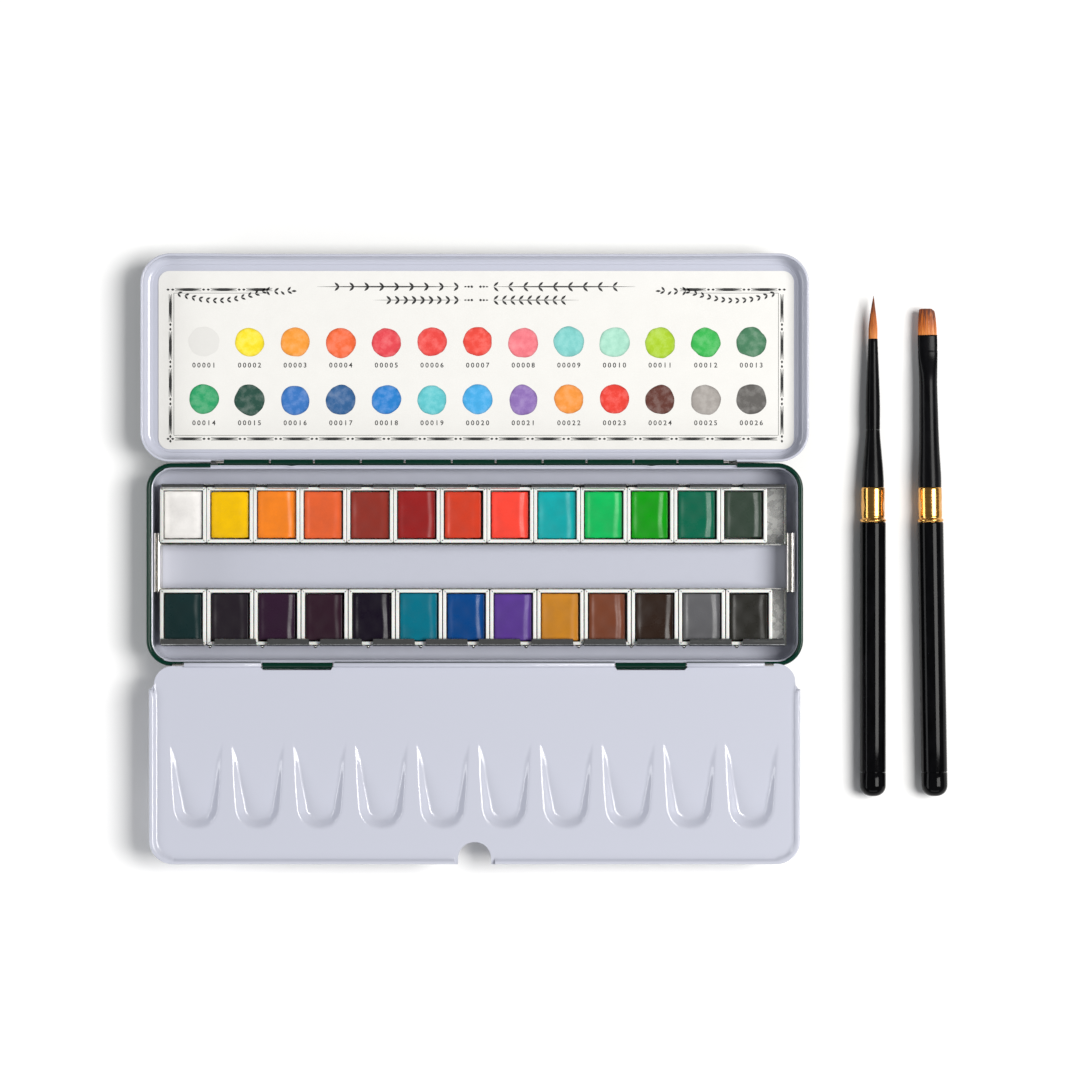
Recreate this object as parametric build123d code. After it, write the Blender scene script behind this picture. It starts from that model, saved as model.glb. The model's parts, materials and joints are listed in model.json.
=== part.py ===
from build123d import *
import math
import os

# Watercolour pan set in a folding tin, sizes in millimetres.
# Frame: origin at the middle of the tin's underside, +X along the tin, +Y towards the lid,
# +Z up. Both leaves are modelled folded out flat on their hinge stops.

# ---- tin base
BASE_L, BASE_W, BASE_H = 224.3, 69.3, 15.0      # over the rim bead
BASE_CORNER = 8.8
SHEET = 0.5                                     # base sheet thickness
BEAD_R = 0.75
NECK_Z = BASE_H - 2.4                           # height of the step below the bead
NECK_STEP = 0.4
FLOOR_R = 2.0

# ---- rear hinge (lid)
REAR_Y, REAR_Z = BASE_W / 2 + 0.4, BASE_H + 0.5
KNUCKLE_R, BORE_R, PIN_R = 0.85, 0.45, 0.4
WIDE, PITCH, NARROW = 15.4, 31.0, 14.3          # base knuckle, knuckle pitch, lid knuckle
HINGE_X0, HINGE_X1 = -89.7, 89.2                # where the bead is cut for the hinge

# ---- lid
LID_L, LID_W, LID_DEPTH = BASE_L + 4.0, 71.2, 7.0
LID_Y0, LID_RIM_Z = REAR_Y + 0.05, BASE_H + 0.1
LID_Y1 = LID_Y0 + LID_W
LID_CORNER, LID_SHEET, LID_ROLL_R = 10.3, 0.4, 0.45
LID_FILLET = 2.6

# ---- colour card
CARD_X0, CARD_X1 = 5.55 - LID_L / 2, LID_L / 2 - 4.75
CARD_Y0, CARD_Y1 = LID_Y0 + 4.4, LID_Y1 - 5.6
CARD_T, CARD_CORNER = 0.3, 3.8

# ---- front hinge and mixing palette
FRONT_Y, FRONT_Z = 0.45 - BASE_W / 2, BASE_H + 1.1
TUBE_R = 0.8
PAL_X, PAL_FRONT = BASE_L / 2 - 1.1, FRONT_Y - 68.0     # half length over the rims, free edge
PAL_SHEET = 0.4
RIM_H, RIM_W, RIM_FRONT_W = 1.2, 2.5, 1.7
WELLS, WELL_PITCH, WELL_X0 = 10, 21.06, -95.0
WELL_TOP_Y, WELL_END_Y, WELL_W0, WELL_W1 = FRONT_Y - 26.4, PAL_FRONT + 19.7, 18.3, 15.0
WELL_DEPTH, WELL_DRAFT = 3.0, 2.6

# ---- pans and their rack
PANS = 13
PAN_L, PAN_W, PAN_H, PAN_WALL, PAN_FLOOR = 15.8, 19.0, 10.5, 1.2, 1.6
PAN_CORNER = 0.6                                # outer corner radius
PAINT_DROP = 0.9                                # paint surface below the pan rim
RACK_T = 0.4
RACK_X0, RACK_X1 = 3.9 - BASE_L / 2, BASE_L / 2 - 4.85
STRIP_X = BASE_L / 2 - 2.8                      # reach of the end strips towards the base wall
PAN_X0 = RACK_X0 + 8.35
REAR_OUT, FRONT_OUT = BASE_W / 2 - 8.15, 7.15 - BASE_W / 2      # outer edges of the pan rows
ROWS = [                                        # first centre x, pitch, y of inner and outer edge
    dict(name="rear", x0=PAN_X0, pitch=PAN_L + 0.2, y_in=REAR_OUT - PAN_W, y_out=REAR_OUT,
         lip=REAR_OUT - PAN_W - 0.9, wall=REAR_OUT + 1.15, roll=REAR_OUT + 0.3),
    dict(name="front", x0=PAN_X0, pitch=PAN_L + 0.35, y_in=FRONT_OUT + PAN_W, y_out=FRONT_OUT,
         lip=FRONT_OUT + PAN_W + 0.4, wall=FRONT_OUT - 0.45, roll=FRONT_OUT + 1.4),
]
CLIPS, CLIP_PITCH, CLIP_L, CLIP_R, CLIP_X0 = 12, 18.06, 14.6, 0.85, PAN_X0

# ---- brushes: mouth of the handle, lean of the axis (degrees from +Y), lengths and radii
HANDLE_R, HANDLE_BORE_R, HANDLE_L, CAP_L = 4.45, 3.55, 86.0, 8.6
FLANGE_R, FLANGE_L, COLLAR_R, COLLAR_L = 4.55, 1.7, 4.08, 10.3
SPIGOT_R, SPIGOT_L = 3.47, 8.0
NECK_L, NECK_R0, NECK_R1 = 19.8, 3.8, 2.42
FERRULE_L = 31.3
BRUSH_X, BRUSH_Y, BRUSH_APART = BASE_L / 2 + 24.75, 14.55, 19.8
BRUSHES = [
    dict(name="round", x=BRUSH_X, y=BRUSH_Y, lean=0.0, tip_r=1.62, tip=14.8),
    dict(name="flat", x=BRUSH_X + BRUSH_APART, y=BRUSH_Y, lean=0.9, tip_r=3.1, tip=9.3),
]

PAINTS = [
    "white", "yellow", "orange", "vermilion", "red_brown", "deep_red", "red", "coral", "teal",
    "emerald", "green", "dark_green", "black_green", "dark_teal", "night_violet", "dark_purple",
    "plum", "black_violet", "teal_blue", "blue", "violet", "ochre", "brown", "dark_brown",
    "grey", "black",
]

parts = {}


def slab(x0, x1, y0, y1, z0, z1, r=0.0):
    """Upright block on a rectangle with rounded corners."""
    w, d = x1 - x0, y1 - y0
    flat = RectangleRounded(w, d, r) if r > 0 else Rectangle(w, d)
    return extrude(Pos((x0 + x1) / 2, (y0 + y1) / 2, z0) * flat, amount=z1 - z0)


def dish(x0, x1, y0, y1, z0, z1, r, edge):
    """Rounded block whose bottom edge is rounded as well."""
    block = slab(x0, x1, y0, y1, z0, z1, r)
    return fillet(block.faces().sort_by(Axis.Z)[0].edges(), edge)


def rod(x0, x1, y, z, r, bore=0.0):
    """Round bar or tube along X."""
    bar = Pos((x0 + x1) / 2, y, z) * (Rot(0, 90, 0) * Cylinder(r, x1 - x0))
    if bore:
        bar -= Pos((x0 + x1) / 2, y, z) * (Rot(0, 90, 0) * Cylinder(bore, x1 - x0 + 2))
    return bar


def rolled_rim(x0, x1, y0, y1, z, corner, r):
    """Round bead that follows a rounded rectangle."""
    w, d = x1 - x0, y1 - y0
    loop = (Pos((x0 + x1) / 2, (y0 + y1) / 2, z) * RectangleRounded(w, d, corner)).wire()
    start = Plane(origin=loop @ 0, z_dir=loop % 0)
    return sweep(start * Circle(r), path=loop)


# ------------------------------------------------------------------ tin base
hx, hy = BASE_L / 2, BASE_W / 2
step_in = 2 * BEAD_R + NECK_STEP                # bead edge to the inner face of the lower wall
out_n, in_n = BEAD_R - SHEET / 2, BEAD_R + SHEET / 2
out_l, in_l = step_in - SHEET, step_in


def base_box(inset, z0, z1, edge=0.0):
    args = (-hx + inset, hx - inset, -hy + inset, hy - inset, z0, z1, BASE_CORNER - inset)
    return dish(*args, edge) if edge else slab(*args)


bead_z = BASE_H - BEAD_R
base = base_box(out_l, 0, NECK_Z + SHEET, FLOOR_R + SHEET) + base_box(out_n, NECK_Z, bead_z)
base -= base_box(in_l, SHEET, NECK_Z + 2 * SHEET, FLOOR_R)
base -= base_box(in_n, NECK_Z + SHEET, BASE_H + 1)
bead = rolled_rim(-hx + BEAD_R, hx - BEAD_R, -hy + BEAD_R, hy - BEAD_R, bead_z,
                  BASE_CORNER - BEAD_R, BEAD_R)
bead -= slab(HINGE_X0, HINGE_X1, hy - 3, hy + 2, BASE_H - 3, BASE_H + 1)
STRAPS = [(-72.5, -48.3), (48.0, 72.2)]         # spans of the two base knuckles at the front
for xa, xb in STRAPS:
    bead -= slab(xa, xb, -hy - 2, -hy + 3, BASE_H - 3, BASE_H + 1)
base += bead
for x in (-62.4, 60.5):                         # snap dimples in the rear wall
    base += Pos(x, hy - in_l + 0.75, NECK_Z - 4.4) * Sphere(1.2) & slab(
        x - 3, x + 3, hy - in_l - 1, hy - in_l + 0.2, NECK_Z - 8.6, NECK_Z - 0.6)
parts["base_tray"] = base

# ------------------------------------------------------------------ rear hinge
wall_y = hy - out_n                             # outer face of the neck wall
leaf_y = wall_y + 0.4
leaf = slab(HINGE_X0 + 2, HINGE_X1 - 2, wall_y, leaf_y, NECK_Z, REAR_Z - 1.2)
wide_x0 = -(5 * PITCH + WIDE) / 2 - 0.3
for k in range(6):
    xa = wide_x0 + k * PITCH
    leaf += slab(xa, xa + WIDE, REAR_Y - KNUCKLE_R, REAR_Y - KNUCKLE_R + 0.4, REAR_Z - 1.7, REAR_Z)
    leaf += rod(xa, xa + WIDE, REAR_Y, REAR_Z, KNUCKLE_R)
    leaf -= rod(xa - 1, xa + WIDE + 1, REAR_Y, REAR_Z, BORE_R)
parts["base_hinge_leaf"] = leaf
parts["rear_hinge_pin"] = rod(wide_x0 - 2.6, wide_x0 + 5 * PITCH + WIDE + 1.9, REAR_Y, REAR_Z, PIN_R)

# ------------------------------------------------------------------ lid
lx = LID_L / 2
panel_z = LID_RIM_Z - LID_DEPTH


def lid_box(inset, z0, z1, edge):
    return dish(-lx + inset, lx - inset, LID_Y0 + inset, LID_Y1 - inset, z0, z1,
                LID_CORNER - inset, edge)


lid_out = 0.25
lid = lid_box(lid_out, panel_z, LID_RIM_Z - LID_ROLL_R, LID_FILLET + LID_SHEET)
lid -= lid_box(lid_out + LID_SHEET, panel_z + LID_SHEET, LID_RIM_Z + 1, LID_FILLET)
lid += rolled_rim(-lx + LID_ROLL_R, lx - LID_ROLL_R, LID_Y0 + LID_ROLL_R, LID_Y1 - LID_ROLL_R,
                  LID_RIM_Z - LID_ROLL_R, LID_CORNER - LID_ROLL_R, LID_ROLL_R)
lid -= slab(HINGE_X0, HINGE_X1, LID_Y0 - 1, LID_Y0 + 1.6, LID_RIM_Z - 1.2, LID_RIM_Z + 1)
parts["lid_shell"] = lid

lid_wall_y = LID_Y0 + lid_out
lid_leaf = slab(HINGE_X0 + 2, HINGE_X1 - 2, lid_wall_y - 0.4, lid_wall_y, REAR_Z - 4.3, REAR_Z - 1.6)
narrow_x0 = wide_x0 + WIDE + (PITCH - WIDE - NARROW) / 2
for k in range(5):
    xa = narrow_x0 + k * PITCH
    lid_leaf += slab(xa, xa + NARROW, lid_wall_y - 0.4, lid_wall_y, REAR_Z - 2.0, REAR_Z - 0.6)
    lid_leaf += rod(xa, xa + NARROW, REAR_Y, REAR_Z, KNUCKLE_R)
    lid_leaf -= rod(xa - 1, xa + NARROW + 1, REAR_Y, REAR_Z, BORE_R)
parts["lid_hinge_leaf"] = lid_leaf

card_z = panel_z + LID_SHEET
parts["colour_card"] = slab(CARD_X0, CARD_X1, CARD_Y0, CARD_Y1, card_z, card_z + CARD_T, CARD_CORNER)

# ------------------------------------------------------------------ front hinge
straps = None
for xa, xb in STRAPS:
    xa, xb = xa + 0.15, xb - 0.15
    one = slab(xa, xb, -hy - 0.95, -hy + out_n, FRONT_Z - 4.5, FRONT_Z - 1.4)
    one += slab(xa, xb, FRONT_Y - TUBE_R, FRONT_Y - TUBE_R + 0.35, FRONT_Z - 1.6, FRONT_Z)
    one += rod(xa, xb, FRONT_Y, FRONT_Z, TUBE_R)
    one -= rod(xa - 1, xb + 1, FRONT_Y, FRONT_Z, BORE_R)
    straps = one if straps is None else straps + one
parts["front_hinge_straps"] = straps
parts["front_hinge_pin"] = rod(-103.1, 102.0, FRONT_Y, FRONT_Z, PIN_R)

# ------------------------------------------------------------------ mixing palette leaf
sheet_top = FRONT_Z - TUBE_R + PAL_SHEET
sheet_low = FRONT_Z - TUBE_R
TUBES = [(-99.1, -72.7), (-48.1, 47.8), (72.4, 98.9)]
RIM_Y0 = FRONT_Y - 8.6                          # rear ends of the side rims
FRONT_CORNER = 8.3


def u_outline(half, y0, inset):
    """Rounded front end of the leaf, square at y0."""
    block = slab(-half, half, PAL_FRONT + inset, y0 + 20, sheet_low, sheet_top + RIM_H,
                 FRONT_CORNER - inset)
    return block & slab(-half - 1, half + 1, PAL_FRONT - 1, y0, sheet_low, sheet_top + RIM_H)


sheet_in = PAL_X - 1.6
palette = slab(-sheet_in, sheet_in, FRONT_Y - 25.8, FRONT_Y - 0.4, sheet_low, sheet_top, 6.5)
palette += u_outline(PAL_X, RIM_Y0, 0) & slab(
    -PAL_X - 9, PAL_X + 9, PAL_FRONT - 8, 0, sheet_low, sheet_top)
rims = u_outline(PAL_X, RIM_Y0, 0)
rims -= slab(-PAL_X + RIM_W, PAL_X - RIM_W, PAL_FRONT + RIM_FRONT_W, RIM_Y0 + 20, sheet_low - 1,
             sheet_top + RIM_H + 1, FRONT_CORNER - RIM_W)
top_edges = rims.edges().filter_by(lambda e: e.center().Z > sheet_top + RIM_H - 0.01)
rims = fillet(top_edges, 0.4)
palette += rims
for xa, xb in TUBES:
    palette += slab(xa, xb, FRONT_Y - 1.0, FRONT_Y, sheet_low, sheet_top)
    palette += rod(xa, xb, FRONT_Y, FRONT_Z, TUBE_R)
    palette -= rod(xa - 1, xb + 1, FRONT_Y, FRONT_Z, BORE_R)
for xa, xb in STRAPS:                           # room for the base knuckles
    palette -= slab(xa - 0.2, xb + 0.2, FRONT_Y - 1.8, FRONT_Y + 1.2, sheet_low - 1, sheet_top + 0.001)


def well(x, grow, drop):
    """Scoop with sloping floor: wide and shallow at the hinge side, deep at the round end."""
    def ring(z, inset):
        a, b, r = WELL_W0 / 2 - inset, WELL_W1 / 2 - inset, WELL_W1 / 2 - inset
        y0, y1 = WELL_TOP_Y - inset * 0.2, WELL_END_Y
        pts = [(x - b, y1), (x - a, y0), (x + a, y0), (x + b, y1)]
        line = Polyline(*pts) + ThreePointArc(pts[3], (x, y1 - r), pts[0])
        return Pos(0, 0, z) * make_face(line)
    full = loft([ring(sheet_top, -grow), ring(sheet_top - WELL_DEPTH - drop, WELL_DRAFT - grow)],
                ruled=True)
    run = 24.0
    lean = math.degrees(math.atan(WELL_DEPTH / run))
    keep = Pos(x, WELL_TOP_Y, sheet_top - drop) * (Rot(lean, 0, 0) * (Pos(0, -20, 10) * Box(40, 80, 20)))
    return full & keep


for k in range(WELLS):
    palette += well(WELL_X0 + k * WELL_PITCH, 0.35, PAL_SHEET)
for k in range(WELLS):
    palette -= well(WELL_X0 + k * WELL_PITCH, 0.0, 0.0)
NOTCH_R = 5.65                                  # thumb notch in the free edge
notch_y = PAL_FRONT + 7.6 - NOTCH_R
palette -= Pos(0, notch_y, sheet_low) * Cylinder(NOTCH_R, 6)
palette -= slab(-NOTCH_R, NOTCH_R, PAL_FRONT - 1, notch_y, sheet_low - 1, sheet_top + 3)
palette -= slab(-6.85, 6.85, PAL_FRONT - 1, PAL_FRONT + RIM_FRONT_W, sheet_top, sheet_top + 3)
parts["palette_leaf"] = palette

# ------------------------------------------------------------------ pan rack
rack_z, rack_top = SHEET + 0.25, SHEET + 0.25 + RACK_T
pan_top = rack_top + PAN_H
roll_z = pan_top + CLIP_R + 0.1
rack = None
for row in ROWS:
    lo, hi = min(row["lip"], row["wall"]), max(row["lip"], row["wall"])
    side = 1 if row["wall"] > 0 else -1
    deck = slab(RACK_X0, RACK_X1, lo, hi, rack_z, rack_top)
    lip_in = row["lip"] + side * RACK_T
    deck += slab(RACK_X0, RACK_X1, min(row["lip"], lip_in), max(row["lip"], lip_in), rack_z, 5.5)
    wall_in = row["wall"] - side * RACK_T
    ya, yb = min(row["wall"], wall_in), max(row["wall"], wall_in)
    deck += slab(RACK_X0, RACK_X1, ya, yb, rack_z, 3.5)
    for xe in (RACK_X0, RACK_X1 - RACK_T):
        deck += slab(xe, xe + RACK_T, lo, hi, rack_z, 3.0)
    for k in range(CLIPS):
        xc = CLIP_X0 + k * CLIP_PITCH
        xa, xb = xc - CLIP_L / 2, xc + CLIP_L / 2
        deck += slab(xa, xb, ya, yb, rack_z, roll_z + CLIP_R)
        deck += slab(xa, xb, min(row["wall"], row["roll"]), max(row["wall"], row["roll"]),
                     roll_z + CLIP_R - RACK_T, roll_z + CLIP_R)
        deck += rod(xa, xb, row["roll"], roll_z, CLIP_R, CLIP_R - RACK_T)
        if k and row["name"] == "front":            # small rolled stops between the front clips
            xg = xc - CLIP_PITCH / 2
            deck += slab(xg - 1.1, xg + 1.1, ya, yb, rack_z, pan_top - 3.15)
            deck += Pos(xg, row["wall"] + side * 0.2, pan_top - 3.65) * (
                Rot(0, 90, 0) * Cylinder(0.55, 2.2))
    rack = deck if rack is None else rack + deck
for side, xe in ((-1, RACK_X0), (1, RACK_X1)):  # folded end strips that tie the rows together
    x_in, x_out = xe - side * RACK_T, side * STRIP_X
    y0, y1, z1 = ROWS[1]["lip"] - 1.3, ROWS[0]["lip"] + 4.15, pan_top - 1.25
    rack += slab(min(xe, x_in), max(xe, x_in), y0, y1, rack_z, z1)
    rack += slab(min(x_in, x_out), max(x_in, x_out), y0, y1, z1 - RACK_T, z1)
parts["pan_rack"] = rack

# ------------------------------------------------------------------ pans and paints
pan_z = rack_top
for row in ROWS:
    yc = (row["y_in"] + row["y_out"]) / 2
    pans = []
    for k in range(PANS):
        xc = row["x0"] + k * row["pitch"]
        cup = slab(xc - PAN_L / 2, xc + PAN_L / 2, yc - PAN_W / 2, yc + PAN_W / 2, pan_z, pan_top, PAN_CORNER)
        hl, hw = PAN_L / 2 - PAN_WALL, PAN_W / 2 - PAN_WALL
        cup -= slab(xc - hl, xc + hl, yc - hw, yc + hw, pan_z + PAN_FLOOR, pan_top + 1, 0.5)
        pans.append(cup)
        cake = slab(xc - hl, xc + hl, yc - hw, yc + hw, pan_z + PAN_FLOOR, pan_top - PAINT_DROP, 0.5)
        cake = fillet(cake.faces().sort_by(Axis.Z)[-1].edges(), 0.35)
        index = k if row["name"] == "rear" else PANS + k
        parts["paint_%02d_%s" % (index + 1, PAINTS[index])] = cake
    parts["half_pans_%s_row" % row["name"]] = Compound(children=pans)

# ------------------------------------------------------------------ brushes
axis_z = FLANGE_R


def lathe(points):
    """Solid of revolution about Y from (radius, y) points."""
    return revolve(make_face(Polyline(*[(r, y) for r, y in points], close=True)), axis=Axis.Y)


for brush in BRUSHES:
    place = Pos(brush["x"], brush["y"], axis_z) * Rot(0, 0, brush["lean"])
    name = brush["name"]
    tube = lathe([(HANDLE_BORE_R, 0), (HANDLE_R, 0), (HANDLE_R, -HANDLE_L), (HANDLE_BORE_R, -HANDLE_L)])
    end = lathe([(0, -HANDLE_L - CAP_L), (HANDLE_R, -HANDLE_L - CAP_L), (HANDLE_R, -HANDLE_L),
                 (3.5, -HANDLE_L), (3.5, -HANDLE_L + 3), (0, -HANDLE_L + 3)])
    end = fillet(end.edges().filter_by(GeomType.CIRCLE).sort_by(Axis.Y)[0], 3.9)
    y1 = FLANGE_L
    y2 = y1 + COLLAR_L
    y3 = y2 + NECK_L
    y4 = y3 + FERRULE_L
    collar = lathe([(0, -SPIGOT_L), (SPIGOT_R, -SPIGOT_L), (SPIGOT_R, 0), (FLANGE_R, 0), (FLANGE_R, y1),
                    (COLLAR_R, y1), (COLLAR_R, y2), (0, y2)])
    neck = lathe([(0, y2), (NECK_R0, y2), (NECK_R0 - 0.25, y2 + 4), (NECK_R1 + 0.25, y2 + 14),
                  (NECK_R1, y3), (0, y3)])
    if name == "round":
        ferrule = lathe([(0, y3), (NECK_R1, y3), (2.48, y3 + 8.4), (brush["tip_r"], y4), (0, y4)])
        tuft = lathe([(0, y4), (1.55, y4), (1.7, y4 + 3), (1.45, y4 + 7.5), (0.8, y4 + 11.8),
                      (0.2, y4 + brush["tip"] - 0.3), (0, y4 + brush["tip"])])
    else:
        def oval(y, a, b):
            return Plane(origin=(0, y, 0), x_dir=(1, 0, 0), z_dir=(0, 1, 0)) * Ellipse(a, b)
        yb, yc = y4 - 8.5, y4 - 3.0
        cone = lathe([(0, y3), (3.3, y3), (3.12, y3 + 13.5), (3.1, y3 + 15.4), (0, y3 + 15.4)])
        ferrule = cone + loft([oval(y3 + 15.4, 3.1, 3.1), oval(y4 - 4.0, 3.37, 1.55)], ruled=True)
        ferrule += loft([oval(y4 - 4.0, 3.37, 1.55), oval(y4 + 1.3, 3.3, 1.4)], ruled=True)
        neck = lathe([(0, y2), (3.95, y2), (3.8, y2 + 4), (3.45, y2 + 14), (3.36, y3), (0, y3)])
        tuft = loft([oval(y4 + 1.3, 3.15, 1.25), oval(y4 + 6.0, 2.9, 0.9), oval(y4 + 10.6, 2.45, 0.35)],
                    ruled=True)
    pieces = dict(handle=tube, end_cap=end, collar=collar, neck=neck,
                  ferrule=ferrule, bristles=tuft)
    for key, solid in pieces.items():
        parts["%s_%s" % (name, key)] = place * solid

for name, shape in parts.items():
    export_step(shape, "parts/%s.step" % name)
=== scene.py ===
"""Enamelled watercolour tin with folding mixing palette, pan rack and two pocket brushes.

Laid out as an add-on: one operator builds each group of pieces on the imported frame. Shapes are
worked out in millimetres and written to the meshes in metres.
"""
import json
import math
import bpy
import numpy as np
from bpy.props import FloatProperty, FloatVectorProperty, IntProperty, PointerProperty
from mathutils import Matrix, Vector


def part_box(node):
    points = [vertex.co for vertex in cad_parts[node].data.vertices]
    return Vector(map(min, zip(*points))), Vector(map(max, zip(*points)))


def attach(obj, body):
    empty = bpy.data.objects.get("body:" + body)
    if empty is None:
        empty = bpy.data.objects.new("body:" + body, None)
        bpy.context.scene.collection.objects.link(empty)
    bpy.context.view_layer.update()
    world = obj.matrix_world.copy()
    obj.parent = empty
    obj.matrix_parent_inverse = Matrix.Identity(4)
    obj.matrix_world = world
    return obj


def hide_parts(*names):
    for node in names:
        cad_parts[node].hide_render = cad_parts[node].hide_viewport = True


bl_info = {
    "name": "Watercolour Pan Set",
    "version": (1, 0, 0),
    "blender": (4, 5, 0),
    "location": "3D View > Sidebar > Pan Set",
    "description": "Builds the finished pieces of an enamelled watercolour tin",
    "category": "Object",
}

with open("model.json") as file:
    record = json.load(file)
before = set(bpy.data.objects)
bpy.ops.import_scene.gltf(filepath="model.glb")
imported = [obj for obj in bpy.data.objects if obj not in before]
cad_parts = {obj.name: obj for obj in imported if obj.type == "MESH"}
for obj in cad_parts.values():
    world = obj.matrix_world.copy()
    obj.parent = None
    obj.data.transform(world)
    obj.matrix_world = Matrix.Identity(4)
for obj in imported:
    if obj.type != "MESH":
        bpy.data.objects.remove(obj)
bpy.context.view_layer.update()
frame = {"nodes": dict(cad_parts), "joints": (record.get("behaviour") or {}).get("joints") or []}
MM = 0.001


def node_box(node):
    """Lowest and highest corner of a frame node in millimetres."""
    low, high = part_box(node)
    return np.array(low) / MM, np.array(high) / MM


# ------------------------------------------------------------------ shape tools
def grid_faces(rows, cols, wrap_rows=False, wrap_cols=False, start=0):
    """Quads joining neighbouring points of a rows by cols grid; a wrapped direction closes on itself."""
    a, b = np.meshgrid(np.arange(rows - (not wrap_rows)), np.arange(cols - (not wrap_cols)), indexing="ij")
    a2, b2 = (a + 1) % rows, (b + 1) % cols
    return (np.stack([a * cols + b, a2 * cols + b, a2 * cols + b2, a * cols + b2], -1).reshape(-1, 4)
            + start).tolist()


class Shape:
    """Points, faces and point values gathered for one mesh."""

    def __init__(self):
        self.points, self.faces, self.count = [], [], 0
        self.values = {}

    def add(self, grid, wrap_rows=False, wrap_cols=False, caps=(False, False), flip=False, **values):
        """Adds a grid of points; caps close the first and last row with one flat face each."""
        rows, cols = grid.shape[:2]
        faces = grid_faces(rows, cols, wrap_rows, wrap_cols, self.count)
        first = list(range(self.count, self.count + cols))
        last = list(range(self.count + (rows - 1) * cols, self.count + rows * cols))
        if caps[0]:
            faces.append(first)
        if caps[1]:
            faces.append(last[::-1])
        self.faces += [face[::-1] for face in faces] if flip else faces
        self.points.append(grid.reshape(-1, 3))
        for key, value in values.items():
            value = np.broadcast_to(value, (rows, cols) + np.shape(value)[2:] if np.ndim(value) == 3
                                    else (rows, cols))
            self.values.setdefault(key, []).append(value.reshape(rows * cols, -1))
        self.count += rows * cols
        return self

    def build(self, name, material, body, slot, replaces=(), crease=35.0):
        """Makes the mesh object, smooth but for edges sharper than crease degrees."""
        mesh = bpy.data.meshes.new(name)
        mesh.from_pydata(np.concatenate(self.points) * MM, [], self.faces)
        mesh.validate()
        for key, parts in self.values.items():
            value = np.concatenate(parts)
            if value.shape[1] == 3:
                layer = mesh.attributes.new(key, "FLOAT_COLOR", "POINT")
                rgba = np.c_[value, np.ones(len(value))]
                layer.data.foreach_set("color", rgba.astype(np.float32).ravel())
            else:
                layer = mesh.attributes.new(key, "FLOAT", "POINT")
                layer.data.foreach_set("value", value.astype(np.float32).ravel())
        mesh.shade_smooth()
        mesh.set_sharp_from_angle(angle=math.radians(crease))
        mesh.materials.append(material)
        return settle(bpy.data.objects.new(name, mesh), body, replaces)


def settle(obj, body, replaces=()):
    """Links a piece, lets it ride on its body and hides the frame nodes it stands for."""
    bpy.context.scene.collection.objects.link(obj)
    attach(obj, body)
    if replaces:
        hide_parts(*replaces)
    return obj


def arc(cx, cy, r, a0, a1, n=6):
    """Points on a circle arc from angle a0 to a1 in degrees."""
    t = np.radians(np.linspace(a0, a1, n))
    return np.c_[cx + r * np.cos(t), cy + r * np.sin(t)]


def rounded_loop(hx, hy, r, cx=0.0, cy=0.0, corner=10, along=(2, 2)):
    """Rounded rectangle walked anticlockwise: points and outward normals.

    Each corner is a quarter circle; the straight runs between get evenly spaced points."""
    points, normals = [], []
    centres = [(hx - r, hy - r), (-hx + r, hy - r), (-hx + r, -hy + r), (hx - r, -hy + r)]
    for k, (x, y) in enumerate(centres):
        t = np.radians(np.linspace(90 * k, 90 * k + 90, corner))
        n = np.c_[np.cos(t), np.sin(t)]
        points.append(np.array([x, y]) + r * n)
        normals.append(n)
        nx, ny = centres[(k + 1) % 4]
        steps = along[k % 2]
        u = np.linspace(0, 1, steps + 2)[1:-1, None]
        start, end = points[-1][-1], np.array([nx, ny]) + r * n[-1]
        points.append(start + (end - start) * u)
        normals.append(np.repeat(n[-1:], steps, 0))
    return np.concatenate(points) + np.array([cx, cy]), np.concatenate(normals)


def carry(path, normals, profile):
    """Profile (inset, height) carried round a loop: each point is path minus inset times normal."""
    plan = path[None] - profile[:, None, :1] * normals[None]
    height = np.broadcast_to(profile[:, None, 1:], plan.shape[:2] + (1,))
    return np.concatenate([plan, height], -1)


def tube(path, normals, z, r, sides=14):
    """Round bead along a level path: path + r (cos t normal + sin t up)."""
    t = np.linspace(0, 2 * np.pi, sides, endpoint=False)
    plan = path[:, None] + r * np.cos(t)[None, :, None] * normals[:, None]
    height = np.broadcast_to(z + r * np.sin(t), (len(path), sides))[..., None]
    return np.concatenate([plan, height], -1)


def ring_bar(x0, x1, y, z, outer, inner, sides=20, bevel=0.08):
    """Tube along X: a closed wall section turned about the tube's axis."""
    t = np.linspace(0, 2 * np.pi, sides, endpoint=False)
    s = np.array([(x0, inner), (x0, outer - bevel), (x0 + bevel, outer), (x1 - bevel, outer),
                  (x1, outer - bevel), (x1, inner)])
    return np.stack([np.repeat(s[:, :1], sides, 1), y + s[:, 1:] * np.cos(t),
                     z + s[:, 1:] * np.sin(t)], -1)


def ribbon(line, x0, x1, thick, taper=None, cols=3):
    """Bent strip: an open (y, z) line given thickness on both sides and drawn out along X."""
    line = np.asarray(line, float)
    step = np.gradient(line, axis=0)
    step /= np.linalg.norm(step, axis=1, keepdims=True)
    side = np.c_[-step[:, 1], step[:, 0]] * thick / 2
    loop = np.concatenate([line + side, (line - side)[::-1]])
    ends = np.zeros(len(line)) if taper is None else np.asarray(taper, float)
    ends = np.concatenate([ends, ends[::-1]])
    u = np.linspace(0, 1, cols)[:, None]
    x = (x0 + ends)[None] * (1 - u) + (x1 - ends)[None] * u
    return np.stack([x, np.broadcast_to(loop[:, 0], x.shape), np.broadcast_to(loop[:, 1], x.shape)], -1)


def lathe(profile, sides=40):
    """Solid of revolution about local Y from (radius, y) points."""
    profile = np.asarray(profile, float)
    t = np.linspace(0, 2 * np.pi, sides, endpoint=False)
    return np.stack([profile[:, :1] * np.cos(t), np.repeat(profile[:, 1:], sides, 1),
                     profile[:, :1] * np.sin(t)], -1)


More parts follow.
